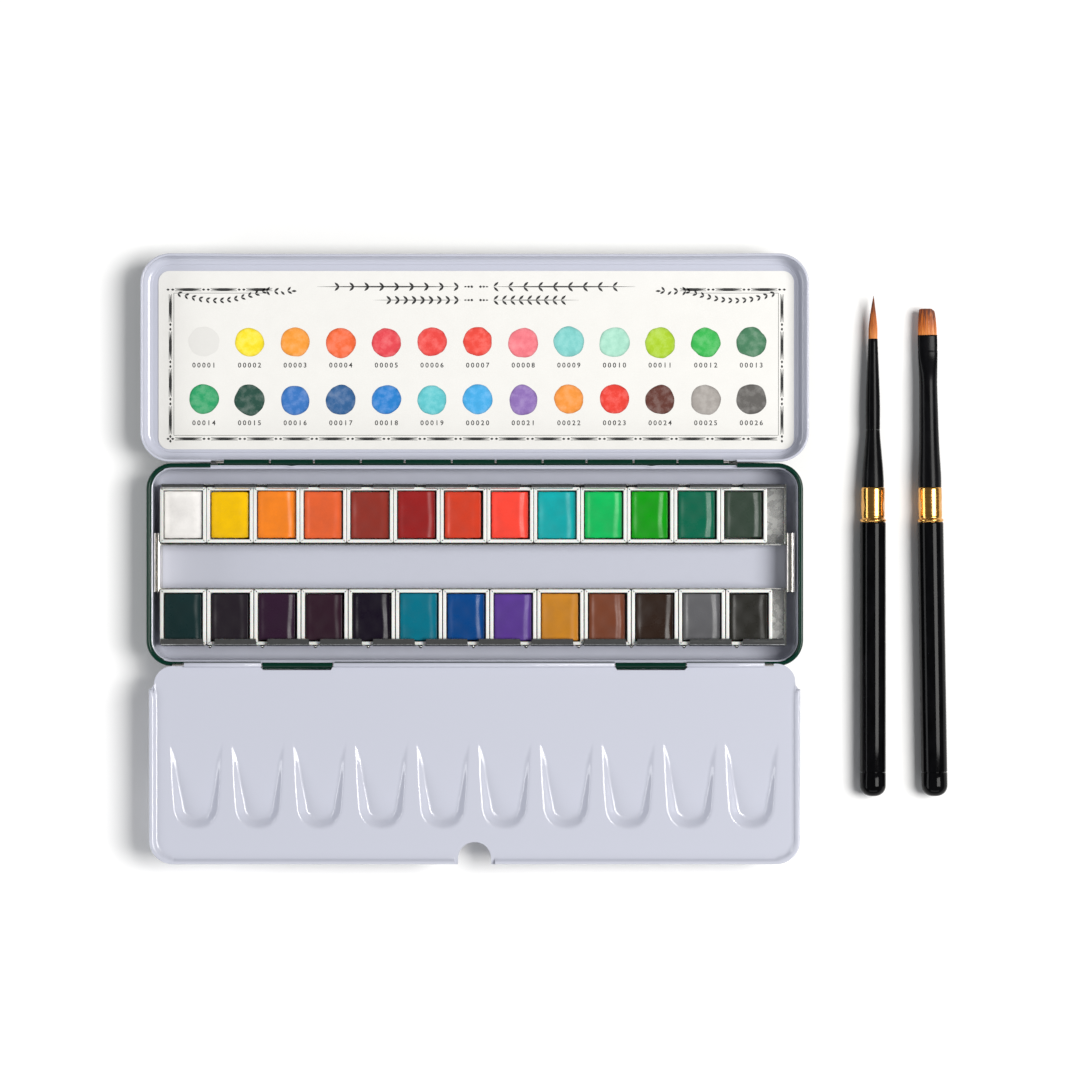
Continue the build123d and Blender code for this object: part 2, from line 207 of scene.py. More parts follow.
def smooth(t):
    """Smooth step from 0 to 1."""
    t = np.clip(t, 0, 1)
    return t * t * (3 - 2 * t)


def soft_min(a, b, k):
    """Smaller of a and b, blended over a width k."""
    h = np.clip(k - np.abs(a - b), 0, None) / k
    return np.minimum(a, b) - h * h * k / 4


def soft_max(a, b, k):
    """Larger of a and b, blended over a width k."""
    return -soft_min(-a, -b, k)


# ------------------------------------------------------------------ shader tools
class Wire:
    """A socket in a shader tree that adds and multiplies like a number."""

    def __init__(self, tree, socket=None):
        self.tree, self.socket = tree, socket

    def make(self, kind, inputs=None, out=0, **settings):
        """Adds any node, sets its properties and inputs, and returns one of its outputs."""
        node = self.tree.nodes.new(kind)
        for key, value in settings.items():
            setattr(node, key, value)
        for key, value in (inputs or {}).items():
            plug(self.tree, node.inputs[key], value)
        return Wire(self.tree, node.outputs[out])

    def math(self, operation, *values, clamp=False):
        return self.make("ShaderNodeMath", dict(enumerate(values)), operation=operation, use_clamp=clamp)

    def __add__(self, other):
        return self.math("ADD", self, other)

    def __radd__(self, other):
        return self.math("ADD", other, self)

    def __sub__(self, other):
        return self.math("SUBTRACT", self, other)

    def __rsub__(self, other):
        return self.math("SUBTRACT", other, self)

    def __mul__(self, other):
        return self.math("MULTIPLY", self, other)

    def __rmul__(self, other):
        return self.math("MULTIPLY", other, self)

    def __truediv__(self, other):
        return self.math("DIVIDE", self, other)

    def __rtruediv__(self, other):
        return self.math("DIVIDE", other, self)

    def __pow__(self, other):
        return self.math("POWER", self, other)

    def coords(self, scale=(1, 1, 1)):
        place = self.make("ShaderNodeTexCoord", out="Object")
        return self.make("ShaderNodeMapping", {"Vector": place, "Scale": scale})

    def noise(self, scale, detail=2.0, stretch=(1, 1, 1), out="Fac"):
        return self.make("ShaderNodeTexNoise", {"Vector": self.coords(stretch), "Scale": scale,
                                                "Detail": detail}, out=out)

    def value(self, name, out="Fac"):
        return self.make("ShaderNodeAttribute", out=out, attribute_name=name)

    def blend(self, low, high):
        """Colour low where this wire is 0, high where it is 1."""
        return self.make("ShaderNodeMix", {0: self, 6: low, 7: high}, out=2, data_type="RGBA")

    def ramp(self, low, high, a=0.0, b=1.0):
        """This wire's range low to high spread over a to b and held there."""
        return self.make("ShaderNodeMapRange", {0: self, 1: low, 2: high, 3: a, 4: b})

    def bump(self, height, strength=0.3, distance=0.0001):
        return self.make("ShaderNodeBump", {"Height": height, "Strength": strength,
                                            "Distance": distance}, out="Normal")


def plug(tree, socket, value):
    """Links a wire or sets a plain value, giving colours their alpha."""
    if isinstance(value, Wire):
        tree.links.new(value.socket, socket)
    elif socket.type == "RGBA":
        socket.default_value = tuple(value)[:3] + (1.0,)
    else:
        socket.default_value = value


def finish(name, colour, paint=None, **constants):
    """Surface finish: constants sit on the shader's own sockets, paint(wire) gives what varies."""
    material = bpy.data.materials.new(name)
    material.use_nodes = True
    tree = material.node_tree
    shader = tree.nodes["Principled BSDF"]
    plug(tree, shader.inputs["Base Color"], colour)
    for key, value in constants.items():
        plug(tree, shader.inputs[key.replace("_", " ")], value)
    for key, value in (paint(Wire(tree)) if paint else {}).items():
        plug(tree, shader.inputs[key], value)
    return material


def hex_colour(code):
    """Linear colour from a display hex code."""
    s = np.array([int(code[k:k + 2], 16) for k in (0, 2, 4)]) / 255
    return tuple(np.where(s < 0.04045, s / 12.92, ((s + 0.055) / 1.055) ** 2.4))


def shade(colour, factor):
    return tuple(min(1.0, c * factor) for c in colour[:3])


# ------------------------------------------------------------------ settings a user may change
class PanSetTin(bpy.types.PropertyGroup):
    """Sizes and colours of the enamelled tin."""
    pale: FloatVectorProperty(name="Inside enamel", description="Pale enamel inside the tin",
                              subtype="COLOR", min=0, max=1, default=(0.520, 0.534, 0.615))
    green: FloatVectorProperty(name="Outside enamel", description="Dark enamel outside the tin",
                               subtype="COLOR", min=0, max=1, default=(0.0006, 0.024, 0.014))
    bow: FloatProperty(name="Lid edge bow", description="How far the lid's free edge is drawn in, mm",
                       default=0.2, min=0, max=0.25)
    well_depth: FloatProperty(name="Scoop depth", description="Depth of the palette's scoops, mm",
                              default=3.0, min=0.5, max=3.0)


class PanSetPaints(bpy.types.PropertyGroup):
    """Paint cakes and their pans."""
    plastic: FloatVectorProperty(name="Pan plastic", description="Colour of the half pans",
                                 subtype="COLOR", min=0, max=1, default=(0.74, 0.745, 0.72))
    ridge: FloatProperty(name="Cake ridge", description="Height of the dried rim round a cake, mm",
                         default=0.22, min=0, max=0.5)
    seed: IntProperty(name="Cake seed", description="Picks how each cake has shrunk in its pan",
                      default=11, min=0)


class PanSetBrushes(bpy.types.PropertyGroup):
    """Pocket brushes."""
    lacquer: FloatVectorProperty(name="Handle lacquer", description="Colour of the brush handles",
                                 subtype="COLOR", min=0, max=1, default=(0.0015, 0.0015, 0.0018))
    gilt: FloatVectorProperty(name="Collar metal", description="Colour of the collars",
                              subtype="COLOR", min=0, max=1, default=(0.72, 0.37, 0.095))
    hairs: IntProperty(name="Hairs", description="Loose hairs laid over each tuft", default=260,
                       min=0, max=600)


# ------------------------------------------------------------------ finishes
def enamel(name, inside, outside):
    """Baked enamel on tinplate, one colour inside and another outside by the coat value; on the base the coat
    value also puts the outside colour on part of the inner neck as painted shade.
    """
    def paint(w):
        coat = w.math("GREATER_THAN", w.value("coat"), 0.5)
        orange_peel = w.noise(1500.0, 2.0)
        return {"Base Color": coat.blend(inside, outside),
                "Roughness": w.noise(220.0, 3.0).ramp(0.3, 0.7, 0.12, 0.17),
                "Normal": w.bump(orange_peel, 0.06, 0.00003)}
    return finish(name, inside, paint, Coat_Weight=0.1, Coat_Roughness=0.05)


def plain_enamel(name, colour):
    """Single-coat gloss enamel with faint tone and peel."""
    def paint(w):
        tone = w.noise(60.0, 3.0).ramp(0.3, 0.7)
        return {"Base Color": tone.blend(shade(colour, 0.9), shade(colour, 1.12)),
                "Roughness": w.noise(300.0, 2.0).ramp(0.3, 0.7, 0.14, 0.2),
                "Normal": w.bump(w.noise(1500.0), 0.06, 0.00003)}
    return finish(name, colour, paint, Specular_IOR_Level=0.22)


def tinplate(name, colour, streak=(1, 14, 14), rough=(0.2, 0.34)):
    """Bright rolled metal: fine drawn streaks and a faint crystal pattern."""
    def paint(w):
        lines = w.noise(900.0, 4.0, stretch=streak)
        crystal = w.make("ShaderNodeTexVoronoi", {"Vector": w.coords(), "Scale": 700.0}, out="Color")
        grain = w.make("ShaderNodeSeparateColor", {0: crystal}, out=0)
        tone = (lines * 0.6 + grain * 0.4).ramp(0.2, 0.8)
        return {"Base Color": tone.blend(shade(colour, 0.82), shade(colour, 1.12)),
                "Roughness": tone.ramp(0.0, 1.0, rough[1], rough[0]),
                "Normal": w.bump(lines, 0.12, 0.00003)}
    return finish(name, colour, paint, Metallic=1.0)


def moulded_plastic(name, colour):
    """Smooth white plastic with a faint warm drift."""
    def paint(w):
        drift = w.noise(120.0, 2.0).ramp(0.3, 0.7)
        return {"Base Color": drift.blend(shade(colour, 0.96), shade(colour, 1.04)),
                "Roughness": w.noise(500.0, 2.0).ramp(0.3, 0.7, 0.28, 0.4),
                "Normal": w.bump(w.noise(1800.0, 2.0), 0.08, 0.00004)}
    return finish(name, colour, paint, Subsurface_Weight=0.15, Subsurface_Scale=0.001)


def card_stock(name, colour):
    """Uncoated card: fine fibres in tone and bump."""
    def paint(w):
        fibre = w.noise(2600.0, 5.0)
        cloud = w.noise(180.0, 3.0)
        tone = (fibre * 0.6 + cloud * 0.4).ramp(0.3, 0.7)
        return {"Base Color": tone.blend(shade(colour, 0.965), shade(colour, 1.02)),
                "Normal": w.bump(fibre, 0.25, 0.00005)}
    return finish(name, colour, paint, Roughness=0.85)


def wash(name):
    """Watercolour laid on card: pigment pools at the edge and granulates inside."""
    def paint(w):
        pool, colour = w.value("pool"), w.value("wash", "Color")
        blotch = w.noise(420.0, 4.0).ramp(0.25, 0.75)
        grain = w.noise(3000.0, 3.0).ramp(0.2, 0.8)
        strength = (0.84 + blotch * 0.20 + grain * 0.06).ramp(0.0, 1.0) * w.value("body")
        dark = (blotch * 0.5 + grain * 0.25 + (pool ** 12.0) * 0.8).ramp(0.25, 1.2)
        deep = w.make("ShaderNodeMix", {0: 0.42, 6: colour, 7: (0.0, 0.0, 0.0)}, out=2, data_type="RGBA")
        return {"Base Color": strength.blend((0.77, 0.76, 0.73), dark.blend(colour, deep))}
    return finish(name, (0.8, 0.8, 0.8), paint, Roughness=0.8)


def ink(name, colour):
    """Thin dark printing ink, a little uneven."""
    def paint(w):
        return {"Base Color": w.noise(2500.0, 2.0).ramp(0.3, 0.7).blend(colour, shade(colour, 2.2))}
    return finish(name, colour, paint, Roughness=0.7)


def paint_cake(name, colour, gloss):
    """Dried watercolour: granular, darker in the hollows, a skin shine that varies."""
    def paint(w):
        cloud = w.noise(160.0, 3.0).ramp(0.3, 0.7)
        grain = w.noise(1400.0, 4.0)
        rim = w.value("rim")
        tone = (cloud * 0.5 + grain * 0.35 + rim * 0.25).ramp(0.1, 0.95)
        rough = (grain * 0.5 + cloud * 0.5).ramp(0.3, 0.7, gloss + 0.10, gloss - 0.04)
        return {"Base Color": tone.blend(shade(colour, 0.78), shade(colour, 1.04)), "Roughness": rough,
                "Normal": w.bump(grain * 0.6 + cloud * 0.4, 0.22, 0.00008)}
    return finish(name, colour, paint, Specular_IOR_Level=0.20)


def lacquer(name, colour, rough=0.07, bump=0.03):
    """Deep gloss black with faint waviness and dust-fine haze."""
    def paint(w):
        haze = w.noise(500.0, 4.0, stretch=(1, 0.3, 1)).ramp(0.35, 0.7)
        return {"Base Color": haze.blend(colour, shade(colour, 2.0)),
                "Roughness": haze.ramp(0.0, 1.0, rough, rough + 0.05),
                "Normal": w.bump(w.noise(250.0, 2.0), bump, 0.0001)}
    return finish(name, colour, paint, Specular_IOR_Level=0.09)


def gilt(name, colour):
    """Polished yellow metal with fine turning lines."""
    def paint(w):
        lines = w.noise(700.0, 3.0, stretch=(0.15, 6, 0.15))
        return {"Base Color": lines.ramp(0.3, 0.7).blend(shade(colour, 0.9), shade(colour, 1.08)),
                "Roughness": lines.ramp(0.3, 0.7, 0.13, 0.24),
                "Normal": w.bump(lines, 0.08, 0.00003)}
    return finish(name, colour, paint, Metallic=1.0)


def hair(name):
    """Golden brown synthetic hair, pale at the ferrule, dark at the tips, streaked along its length."""
    def paint(w):
        along, strand = w.value("along"), w.value("strand")
        streak = w.noise(2600.0, 3.0, stretch=(1, 0.08, 1)).ramp(0.3, 0.7)
        t = (along * 0.9 + (strand - 0.5) * 0.55 + (streak - 0.5) * 0.45 + 0.13).ramp(0.0, 1.0)
        low = t.ramp(0.0, 0.5).blend((0.78, 0.29, 0.055), (0.50, 0.115, 0.006))
        return {"Base Color": t.ramp(0.55, 1.0).blend(low, (0.10, 0.016, 0.003)),
                "Roughness": streak.ramp(0.0, 1.0, 0.35, 0.5),
                "Normal": w.bump(streak, 0.4, 0.00006)}
    return finish(name, (0.4, 0.15, 0.03), paint)


def tabletop(name):
    """Plain near-white table with no pattern to speak of."""
    def paint(w):
        drift = w.noise(3.0, 2.0).ramp(0.3, 0.7)
        return {"Base Color": drift.blend((0.935, 0.935, 0.935), (0.95, 0.95, 0.95))}
    return finish(name, (0.94, 0.94, 0.94), paint, Roughness=0.9)


# ------------------------------------------------------------------ pieces
class PANSET_OT_base(bpy.types.Operator):
    """Pressed base of the tin with its rolled rim"""
    bl_idname = "pan_set.base"
    bl_label = "Base tin"

    def execute(self, context):
        tin = context.scene.pan_set_tin
        coat = enamel("tin_enamel", tin.pale, tin.green)
        hx, hy, top = node_box("base_tray")[1]
        corner, bead = 8.8, 0.75
        path, normals = rounded_loop(hx, hy, corner, corner=14, along=(300, 12))
        inner = np.concatenate([
            arc(3.9, 2.5, 2.0, 270, 180, 9), [[1.9, 6.0], [1.9, 12.3]], arc(1.65, 12.55, 0.25, 180, 90, 3),
            [[1.25, 12.85]], arc(1.25, 13.1, 0.25, 270, 180, 3)[1:], [[1.0, 14.25]]])
        outer = np.concatenate([
            [[0.5, 14.25]], arc(0.8, 12.9, 0.3, 180, 270, 3), [[1.25, 12.6], [1.4, 12.45], [1.4, 7.0]],
            arc(3.9, 2.5, 2.5, 180, 270, 8)])
        profile = np.concatenate([inner, outer])
        grid = carry(path, normals, profile)
        rear = (normals[:, 1] > 0.9)[None] & (profile[:, 1] > 13.2)[:, None] & (
            np.arange(len(profile)) < len(inner))[:, None]
        for x in (-62.4, 60.5):                     # snap dimples pressed into the rear neck
            swell = 0.45 * np.exp(-((path[:, 0] - x) / 1.3) ** 2)
            grid[..., 1] -= np.where(rear, swell[None], 0.0)
        # painted shade: the dark outside enamel is carried down the inner neck on the two short sides to
        # stand for the shadowed gap inside the rim
        neck = (profile[:, 1] > 12.7)[:, None] & (np.abs(normals[:, 0]) > 0.4)[None]
        sides = np.where((np.arange(len(profile)) >= len(inner))[:, None] | neck, 1.0, 0.0)
        Shape().add(grid, wrap_cols=True, caps=(True, True), coat=sides).build(
            "base_tin", coat, "base", "base_enamel", ["base_tray"])
        loop, out = rounded_loop(hx - bead, hy - bead, corner - bead, corner=16, along=(360, 40))
        gap = (out[:, 1] > 0.9) & (loop[:, 0] > -89.7) & (loop[:, 0] < 89.2)
        for xa, xb in ((-72.5, -48.3), (48.0, 72.2)):
            gap |= (out[:, 1] < -0.9) & (loop[:, 0] > xa) & (loop[:, 0] < xb)
        rim = Shape()
        keep = np.flatnonzero(~gap)
        first = keep[np.flatnonzero(np.diff(keep) > 1)[0] + 1]
        order = np.roll(np.arange(len(loop)), -first)
        runs = np.split(order, np.flatnonzero(np.diff(gap[order].astype(int))) + 1)
        for run in runs:
            if not gap[run[0]]:
                rim.add(tube(loop[run], out[run], top - bead, bead), wrap_cols=True, caps=(True, True),
                        coat=1.0)
        green = plain_enamel("hinge_enamel", tin.green)
        rim.build("base_rim", green, "base", "base_enamel", crease=50)
        wire = tinplate("hinge_wire", (0.55, 0.53, 0.50), (0.2, 8, 8))
        for node in ("base_hinge_leaf", "lid_hinge_leaf", "front_hinge_straps"):
            frame["nodes"][node].data.materials[0] = green
        for node in ("rear_hinge_pin", "front_hinge_pin"):
            frame["nodes"][node].data.materials[0] = wire
        return {"FINISHED"}


class PANSET_OT_lid(bpy.types.Operator):
    """Lid shell with its rolled edge, drawn in a little between the far corners"""
    bl_idname = "pan_set.lid"
    bl_label = "Lid"

    def execute(self, context):
        tin = context.scene.pan_set_tin
        low, high = node_box("lid_shell")
        hx, hy = high[0], (high[1] - low[1]) / 2
        cy, top, base = (high[1] + low[1]) / 2, high[2], low[2]
        corner, roll = 10.3, 0.45
        coat = enamel("lid_enamel", tin.pale, tin.green)

        def bowed(grid, inset):
            """Far edge drawn in by bow between the corners, fading out towards the panel."""
            pull = tin.bow * smooth((97 - np.abs(grid[..., 0])) / 24) * smooth((grid[..., 1] - cy) / 20)
            grid[..., 1] -= pull * np.clip(1 - (inset - 0.65) / 2.4, 0, 1)
            return grid

        path, normals = rounded_loop(hx, hy, corner, cy=cy, corner=16, along=(240, 30))
        inner = np.concatenate([[[3.55, base + 0.4], [3.42, base + 0.52]],
                                arc(3.25, base + 3.3, 2.6, 270, 180, 9), [[0.65, top - 0.5]]])
        outer = np.concatenate([[[0.25, top - 0.5]], arc(3.25, base + 3.0, 3.0, 180, 270, 9)])
        profile = np.concatenate([inner, outer])
        grid = bowed(carry(path, normals, profile), profile[:, None, 0])
        cut = ((normals[:, 1] < -0.9) & (path[:, 0] > -89.7) & (path[:, 0] < 89.2))[None]
        grid[..., 2] = np.where(cut, np.minimum(grid[..., 2], 13.9), grid[..., 2])
        sides = np.where(np.arange(len(profile)) < len(inner), 0.0, 1.0)[:, None]
        Shape().add(grid, wrap_cols=True, caps=(True, True), coat=sides).build(
            "lid_pressing", coat, "lid", "lid_enamel", ["lid_shell"])
        loop, out = rounded_loop(hx - roll, hy - roll, corner - roll, cy=cy, corner=18, along=(360, 40))
        gap = (out[:, 1] < -0.9) & (loop[:, 0] > -89.7) & (loop[:, 0] < 89.2)
        order = np.roll(np.arange(len(loop)), -(np.flatnonzero(gap)[-1] + 1))
        run = order[~gap[order]]
        edge = bowed(tube(loop[run], out[run], top - roll, roll), 0.45)
        Shape().add(edge, wrap_cols=True, caps=(True, True), coat=0.0).build(
            "lid_rolled_edge", coat, "lid", "lid_enamel", crease=50)
        return {"FINISHED"}


SAMPLES = ["E6E3DF", "F7DF10", "F59A2E", "F0642D", "E3404A", "E8403A", "EA4335", "EE7580", "7CCBC6",
           "A6DCC6", "A8CC1C", "2CB34A", "3F7A56", "1B9E62", "17483B", "2E72BE", "245C93", "0F7CCB",
           "5CC3CA", "3DA9E4", "8B6BB2", "F19334", "E8392A", "5D2A1E", "A39D98", "5F5C59"]


class PANSET_OT_card(bpy.types.Operator):
    """Colour card with a ruled frame, brushed colour samples and their numbers"""
    bl_idname = "pan_set.card"
    bl_label = "Colour card"

    def execute(self, context):
        frame["nodes"]["colour_card"].data.materials[0] = card_stock("card_stock", (0.775, 0.765, 0.735))
        low, high = node_box("colour_card")
        z, rng = high[2] + 0.02, np.random.default_rng(5)
        rows = [high[1] - 24.4, high[1] - 44.2]
        xs = low[0] + 15.6 + 15.65 * np.arange(13)
        spots = Shape()
        turn = np.linspace(0, 2 * np.pi, 72, endpoint=False)
        depth = np.linspace(0.04, 1.0, 9)
        for k, code in enumerate(SAMPLES):
            x, y = xs[k % 13], rows[k // 13] + rng.uniform(-0.3, 0.3)
            edge = 1 + sum(rng.normal(0, 0.032 / h ** 0.8) * np.cos(h * turn + rng.uniform(0, 6.3))
                           for h in (2, 3, 4, 5, 7, 9, 13))
            r = rng.uniform(4.95, 5.25) * np.outer(depth, edge)
            grid = np.stack([x + r * np.cos(turn), y + r * np.sin(turn), np.full_like(r, z)], -1)
            body = 0.11 if k == 0 else 1.0
            pool = np.repeat(depth[:, None], 72, 1)
            hue = np.broadcast_to(hex_colour("6E6A66" if k == 0 else code), r.shape + (3,))
            spots.add(grid, wrap_cols=True, caps=(True, False), wash=hue, pool=pool, body=body)
        spots.build("colour_samples", wash("wash"), "lid", "card")
        black = ink("card_ink", (0.012, 0.012, 0.012))
        marks = Shape()

        def rule(x0, y0, x1, y1, width):
            """Straight printed line as one thin quad strip."""
            run = np.array([x1 - x0, y1 - y0]) / math.hypot(x1 - x0, y1 - y0)
            side = np.array([-run[1], run[0]]) * width / 2
            ends = np.array([[x0, y0], [x1, y1]])
            grid = np.stack([ends - side, ends + side], 1)
            marks.add(np.concatenate([grid, np.full((2, 2, 1), z)], -1))

        def leaf(x, y, angle, length=1.25, width=0.42):
            """Small printed leaf: a lens shape of two arcs."""
            u = np.linspace(0.03, 0.97, 6)
            half = width / 2 * np.sin(np.pi * u)
            plan = np.stack([np.stack([length * u, -half], -1), np.stack([length * u, half], -1)], 1)
            c, s = math.cos(angle), math.sin(angle)
            plan = plan @ np.array([[c, s], [-s, c]]) + (x, y)
            marks.add(np.concatenate([plan, np.full((6, 2, 1), z)], -1))

        left, right, bottom, top = low[0] + 4.1, high[0] - 4.1, low[1] + 3.6, high[1] - 6.4

        def cane(x0, y0, x1, y1):
            """Ruled border drawn as jointed cane: long tapered bars, a pair of buds at each joint."""
            length, turn = math.hypot(x1 - x0, y1 - y0), math.atan2(y1 - y0, x1 - x0)
            count = max(1, round(length / 12.2))
            run, c, s = length / count, math.cos(turn), math.sin(turn)
            for k in range(count):
                a = k * run
                leaf(x0 + c * (a + 1.5), y0 + s * (a + 1.5), turn, run - 3.0, 0.78)
                for off in (0.42, -0.42):
                    rule(x0 + c * (a + 1.6) - s * off, y0 + s * (a + 1.6) + c * off,
                         x0 + c * (a + run - 1.6) - s * off, y0 + s * (a + run - 1.6) + c * off, 0.16)
                for shift in (0.25, -1.35):
                    leaf(x0 + c * (a + shift), y0 + s * (a + shift), turn, 1.1, 0.75)

        cane(left, bottom, right, bottom)
        cane(left, bottom, left, top)
        cane(right, bottom, right, top)
        cane(left, top, left + 36.6, top)
        cane(right, top, right - 36.6, top)
        for x0, y0, x1, y1 in ((left + 1.3, bottom + 1.2, right - 1.3, bottom + 1.2),
                               (left + 1.2, bottom + 1.2, left + 1.2, top - 1.2),
                               (right - 1.2, bottom + 1.2, right - 1.2, top - 1.2),
                               (left + 1.2, top - 1.2, left + 33, top - 1.2),
                               (right - 33, top - 1.2, right - 1.2, top - 1.2)):
            rule(x0, y0, x1, y1, 0.13)
        for side in (1, -1):                        # plain leaf swags under the two top lines
            start = left + 2.5 if side > 0 else right - 2.5
            for t in np.linspace(0.0, 1.0, 13):
                x = start + side * 29 * t
                y = top - 0.8 - 2.9 * math.sin(math.pi * min(1.0, t * 0.95 + 0.05))
                tilt = -math.atan(0.35 * math.cos(math.pi * t)) * side
                for spread in (0.6, -0.6):
                    leaf(x, y, (0 if side > 0 else math.pi) + tilt + spread * 1.0, 1.75, 0.72)
            for t, turn in ((0.05, 0.9), (0.05, -0.9), (0.35, -0.7), (0.35, 0.6), (0.6, -0.8), (0.85, -0.5),
                            (0.85, 0.9), (1.0, 0.0)):
                angle = turn if side > 0 else math.pi - turn
                leaf(start + side * (30 + 9 * t), top - 0.5, angle, 1.9, 0.75)
        middle = (left + right) / 2                 # plain ornament between the swags
        for reach, drop, thick in ((58.0, 1.0, 0.5), (38.0, -3.6, 0.3)):
            y = top + drop
            for side in (1, -1):
                turn = 0 if side > 0 else math.pi
                leaf(middle + side * 4.2, y, turn, reach - 6.0, thick)
                for k in range(3):
                    leaf(middle + side * (1.0 + 1.1 * k), y, turn, 1.0, 0.9 - 0.2 * k)
                for k in range(9):
                    leaf(middle + side * (6.0 + k * (reach - 12.0) / 9), y + 0.1, turn + 0.75, 2.3, 0.8)
                    leaf(middle + side * (6.0 + k * (reach - 12.0) / 9), y - 0.1, turn - 0.75, 2.3, 0.8)
        marks.build("card_rules", black, "lid", "card")
        numerals, faces, count = [], [], 0
        for k in range(26):
            curve = bpy.data.curves.new("numeral", "FONT")
            curve.body, curve.size, curve.space_character = "%05d" % (k + 1), 2.35, 1.45
            curve.offset = 0.035
            curve.align_x, curve.align_y, curve.resolution_u = "CENTER", "CENTER", 3
            source = bpy.data.objects.new("numeral", curve)
            context.scene.collection.objects.link(source)
            context.view_layer.update()
            mesh = bpy.data.meshes.new_from_object(source.evaluated_get(context.evaluated_depsgraph_get()))
            co = np.zeros(len(mesh.vertices) * 3, np.float32)
            mesh.vertices.foreach_get("co", co)
            numerals.append(co.reshape(-1, 3).astype(float) + (xs[k % 13], rows[k // 13] - 8.0, z))
            faces += [[v + count for v in p.vertices] for p in mesh.polygons]
            count += len(mesh.vertices)
            bpy.data.objects.remove(source)
            bpy.data.meshes.remove(mesh)
            bpy.data.curves.remove(curve)
        digits = Shape()
        digits.points, digits.faces = numerals, faces
        digits.build("card_numbers", ink("number_ink", (0.012, 0.012, 0.012)), "lid", "card")
        return {"FINISHED"}


class PANSET_OT_palette(bpy.types.Operator):
    """Mixing leaf: one pressed sheet with raised rims, ten scoops and rolled hinge tubes"""
    bl_idname = "pan_set.palette"
    bl_label = "Mixing palette"

    def execute(self, context):
        tin = context.scene.pan_set_tin
        low, high = node_box("palette_leaf")
        half, front, rim_h, width = high[0], low[1], 1.2, 2.5
        top = high[2] - rim_h
        pitch, x0, w0, w1, y_top, y_end = 21.06, -95.0, 9.15, 7.5, -60.6, -82.5
        corner_r, rear_r, notch_r, rim_gap = 8.3, 6.5, 5.65, 6.9
        tubes = ((-99.1, -72.7), (-48.1, 47.8), (72.4, 98.9))       # spans of the rolled hinge tubes
        cell = pitch / 2
        edge = half - (abs(x0) + cell)
        wall = np.linspace(0.46, 0.90, 19)
        c = np.concatenate([[-1, -0.94], -wall[::-1], np.linspace(-0.36, 0.36, 5), wall, [0.94]])
        cols = [("well", k, v) for k in range(10) for v in c]
        side = np.concatenate([np.linspace(0, 2.6, 14), np.linspace(2.9, edge, 6)])
        lines = np.concatenate([
            np.linspace(front, front + 3, 13), np.linspace(front + 3.6, y_end - 9, 8),
            np.linspace(y_end - 8.6, y_top + 0.6, 52), np.linspace(y_top + 2, -37, 7),
            np.linspace(-36.4, -34.2, 6)])
        y = lines[:, None]
        taper = w0 + (w1 - w0) * (y_top - y) / (y_top - y_end)
        wide = np.where(y > y_top, w0, np.where(y < y_end, w1, taper))
        which = np.array([k for _, k, _ in cols])[None]
        frac = np.array([v for _, _, v in cols])[None]
        knee = 0.87
        inside = np.abs(frac) <= knee
        dx = np.where(inside, frac / knee * wide,
                      np.sign(frac) * (wide + (np.abs(frac) - knee) / (1 - knee) * (cell - wide)))
        x = np.concatenate([np.broadcast_to(-half + side, (len(lines), len(side))),
                            x0 + which * pitch + dx,
                            np.broadcast_to(half - side[::-1], (len(lines), len(side)))], 1)
        # below the scoops a pair of columns is slid onto each edge of the thumb notch and rim gap
        below = smooth((y_end - 8.2 - y) / 2.5)[:, 0]
        for edge_x in (notch_r, rim_gap):
            for side in (-1, 1):
                at = int(np.searchsorted(x[0], side * edge_x))
                for col, target in ((at - 1, side * edge_x - 0.03), (at, side * edge_x + 0.03)):
                    x[:, col] += (target - x[0, col]) * below
        a = np.abs(x)
        round_in = corner_r - np.sqrt(np.clip(corner_r ** 2 - (a - half + corner_r) ** 2, 0, None))
        y_front = front + np.where(a > half - corner_r, round_in, 0)
        notch = -94.6 - notch_r + np.sqrt(np.clip(notch_r ** 2 - x ** 2, 0, None))
        y_front = np.where(a < notch_r, notch, y_front)
        y_rear = np.full_like(x, -34.6) + 0.8 * smooth((x - 98.6) / 0.8)
        for xa, xb in tubes:
            y_rear = np.where((x > xa) & (x < xb), -34.25, y_rear)
        for xa, xb in ((-72.7, -48.1), (47.8, 72.4)):
            y_rear = np.where((x >= xa) & (x <= xb), -36.0, y_rear)
        bend = a - (half - 8.1)
        round_out = rear_r - np.sqrt(np.clip(rear_r ** 2 - np.minimum(bend, rear_r) ** 2, 0, None))
        y_rear = y_rear - np.where(bend > 0, round_out, 0)
        y_rear = np.where(a > half - 1.7, -41.1 - 1.3 * smooth((a - half + 1.7) / 1.2), y_rear)
        near, far = y_end - 8.5, -46.0          # only outside these two lines do rows bend to the edges
        yy = np.where(y < near, near + (y - near) * (near - y_front) / (near - front),
                      np.where(y > far, far + (y - far) / (-34.2 - far) * (y_rear - far), y))
        # scoops: depth is the smaller of a sloping floor and a slanting wall, both corners rounded
        centre = x0 + pitch * np.clip(np.round((x - x0) / pitch), 0, 9)
        off = np.abs(x - centre)
        wide_now = np.where(yy > y_top, w0, w0 + (w1 - w0) * (y_top - yy) / (y_top - y_end))
        gap = np.where(yy < y_end, w1 - np.hypot(off, yy - y_end), wide_now - off)
        floor = tin.well_depth * (y_top - yy) / 23.0
        down = smooth((y_top - yy - 4.0) / 12.0)
        steep = 0.46 + 0.62 * down
        depth = soft_min(soft_min(floor, steep * gap, 0.22 + 0.65 * down), tin.well_depth + 0 * gap, 0.6)
        depth = soft_max(0 * gap, depth, 0.14 + 0.38 * down)
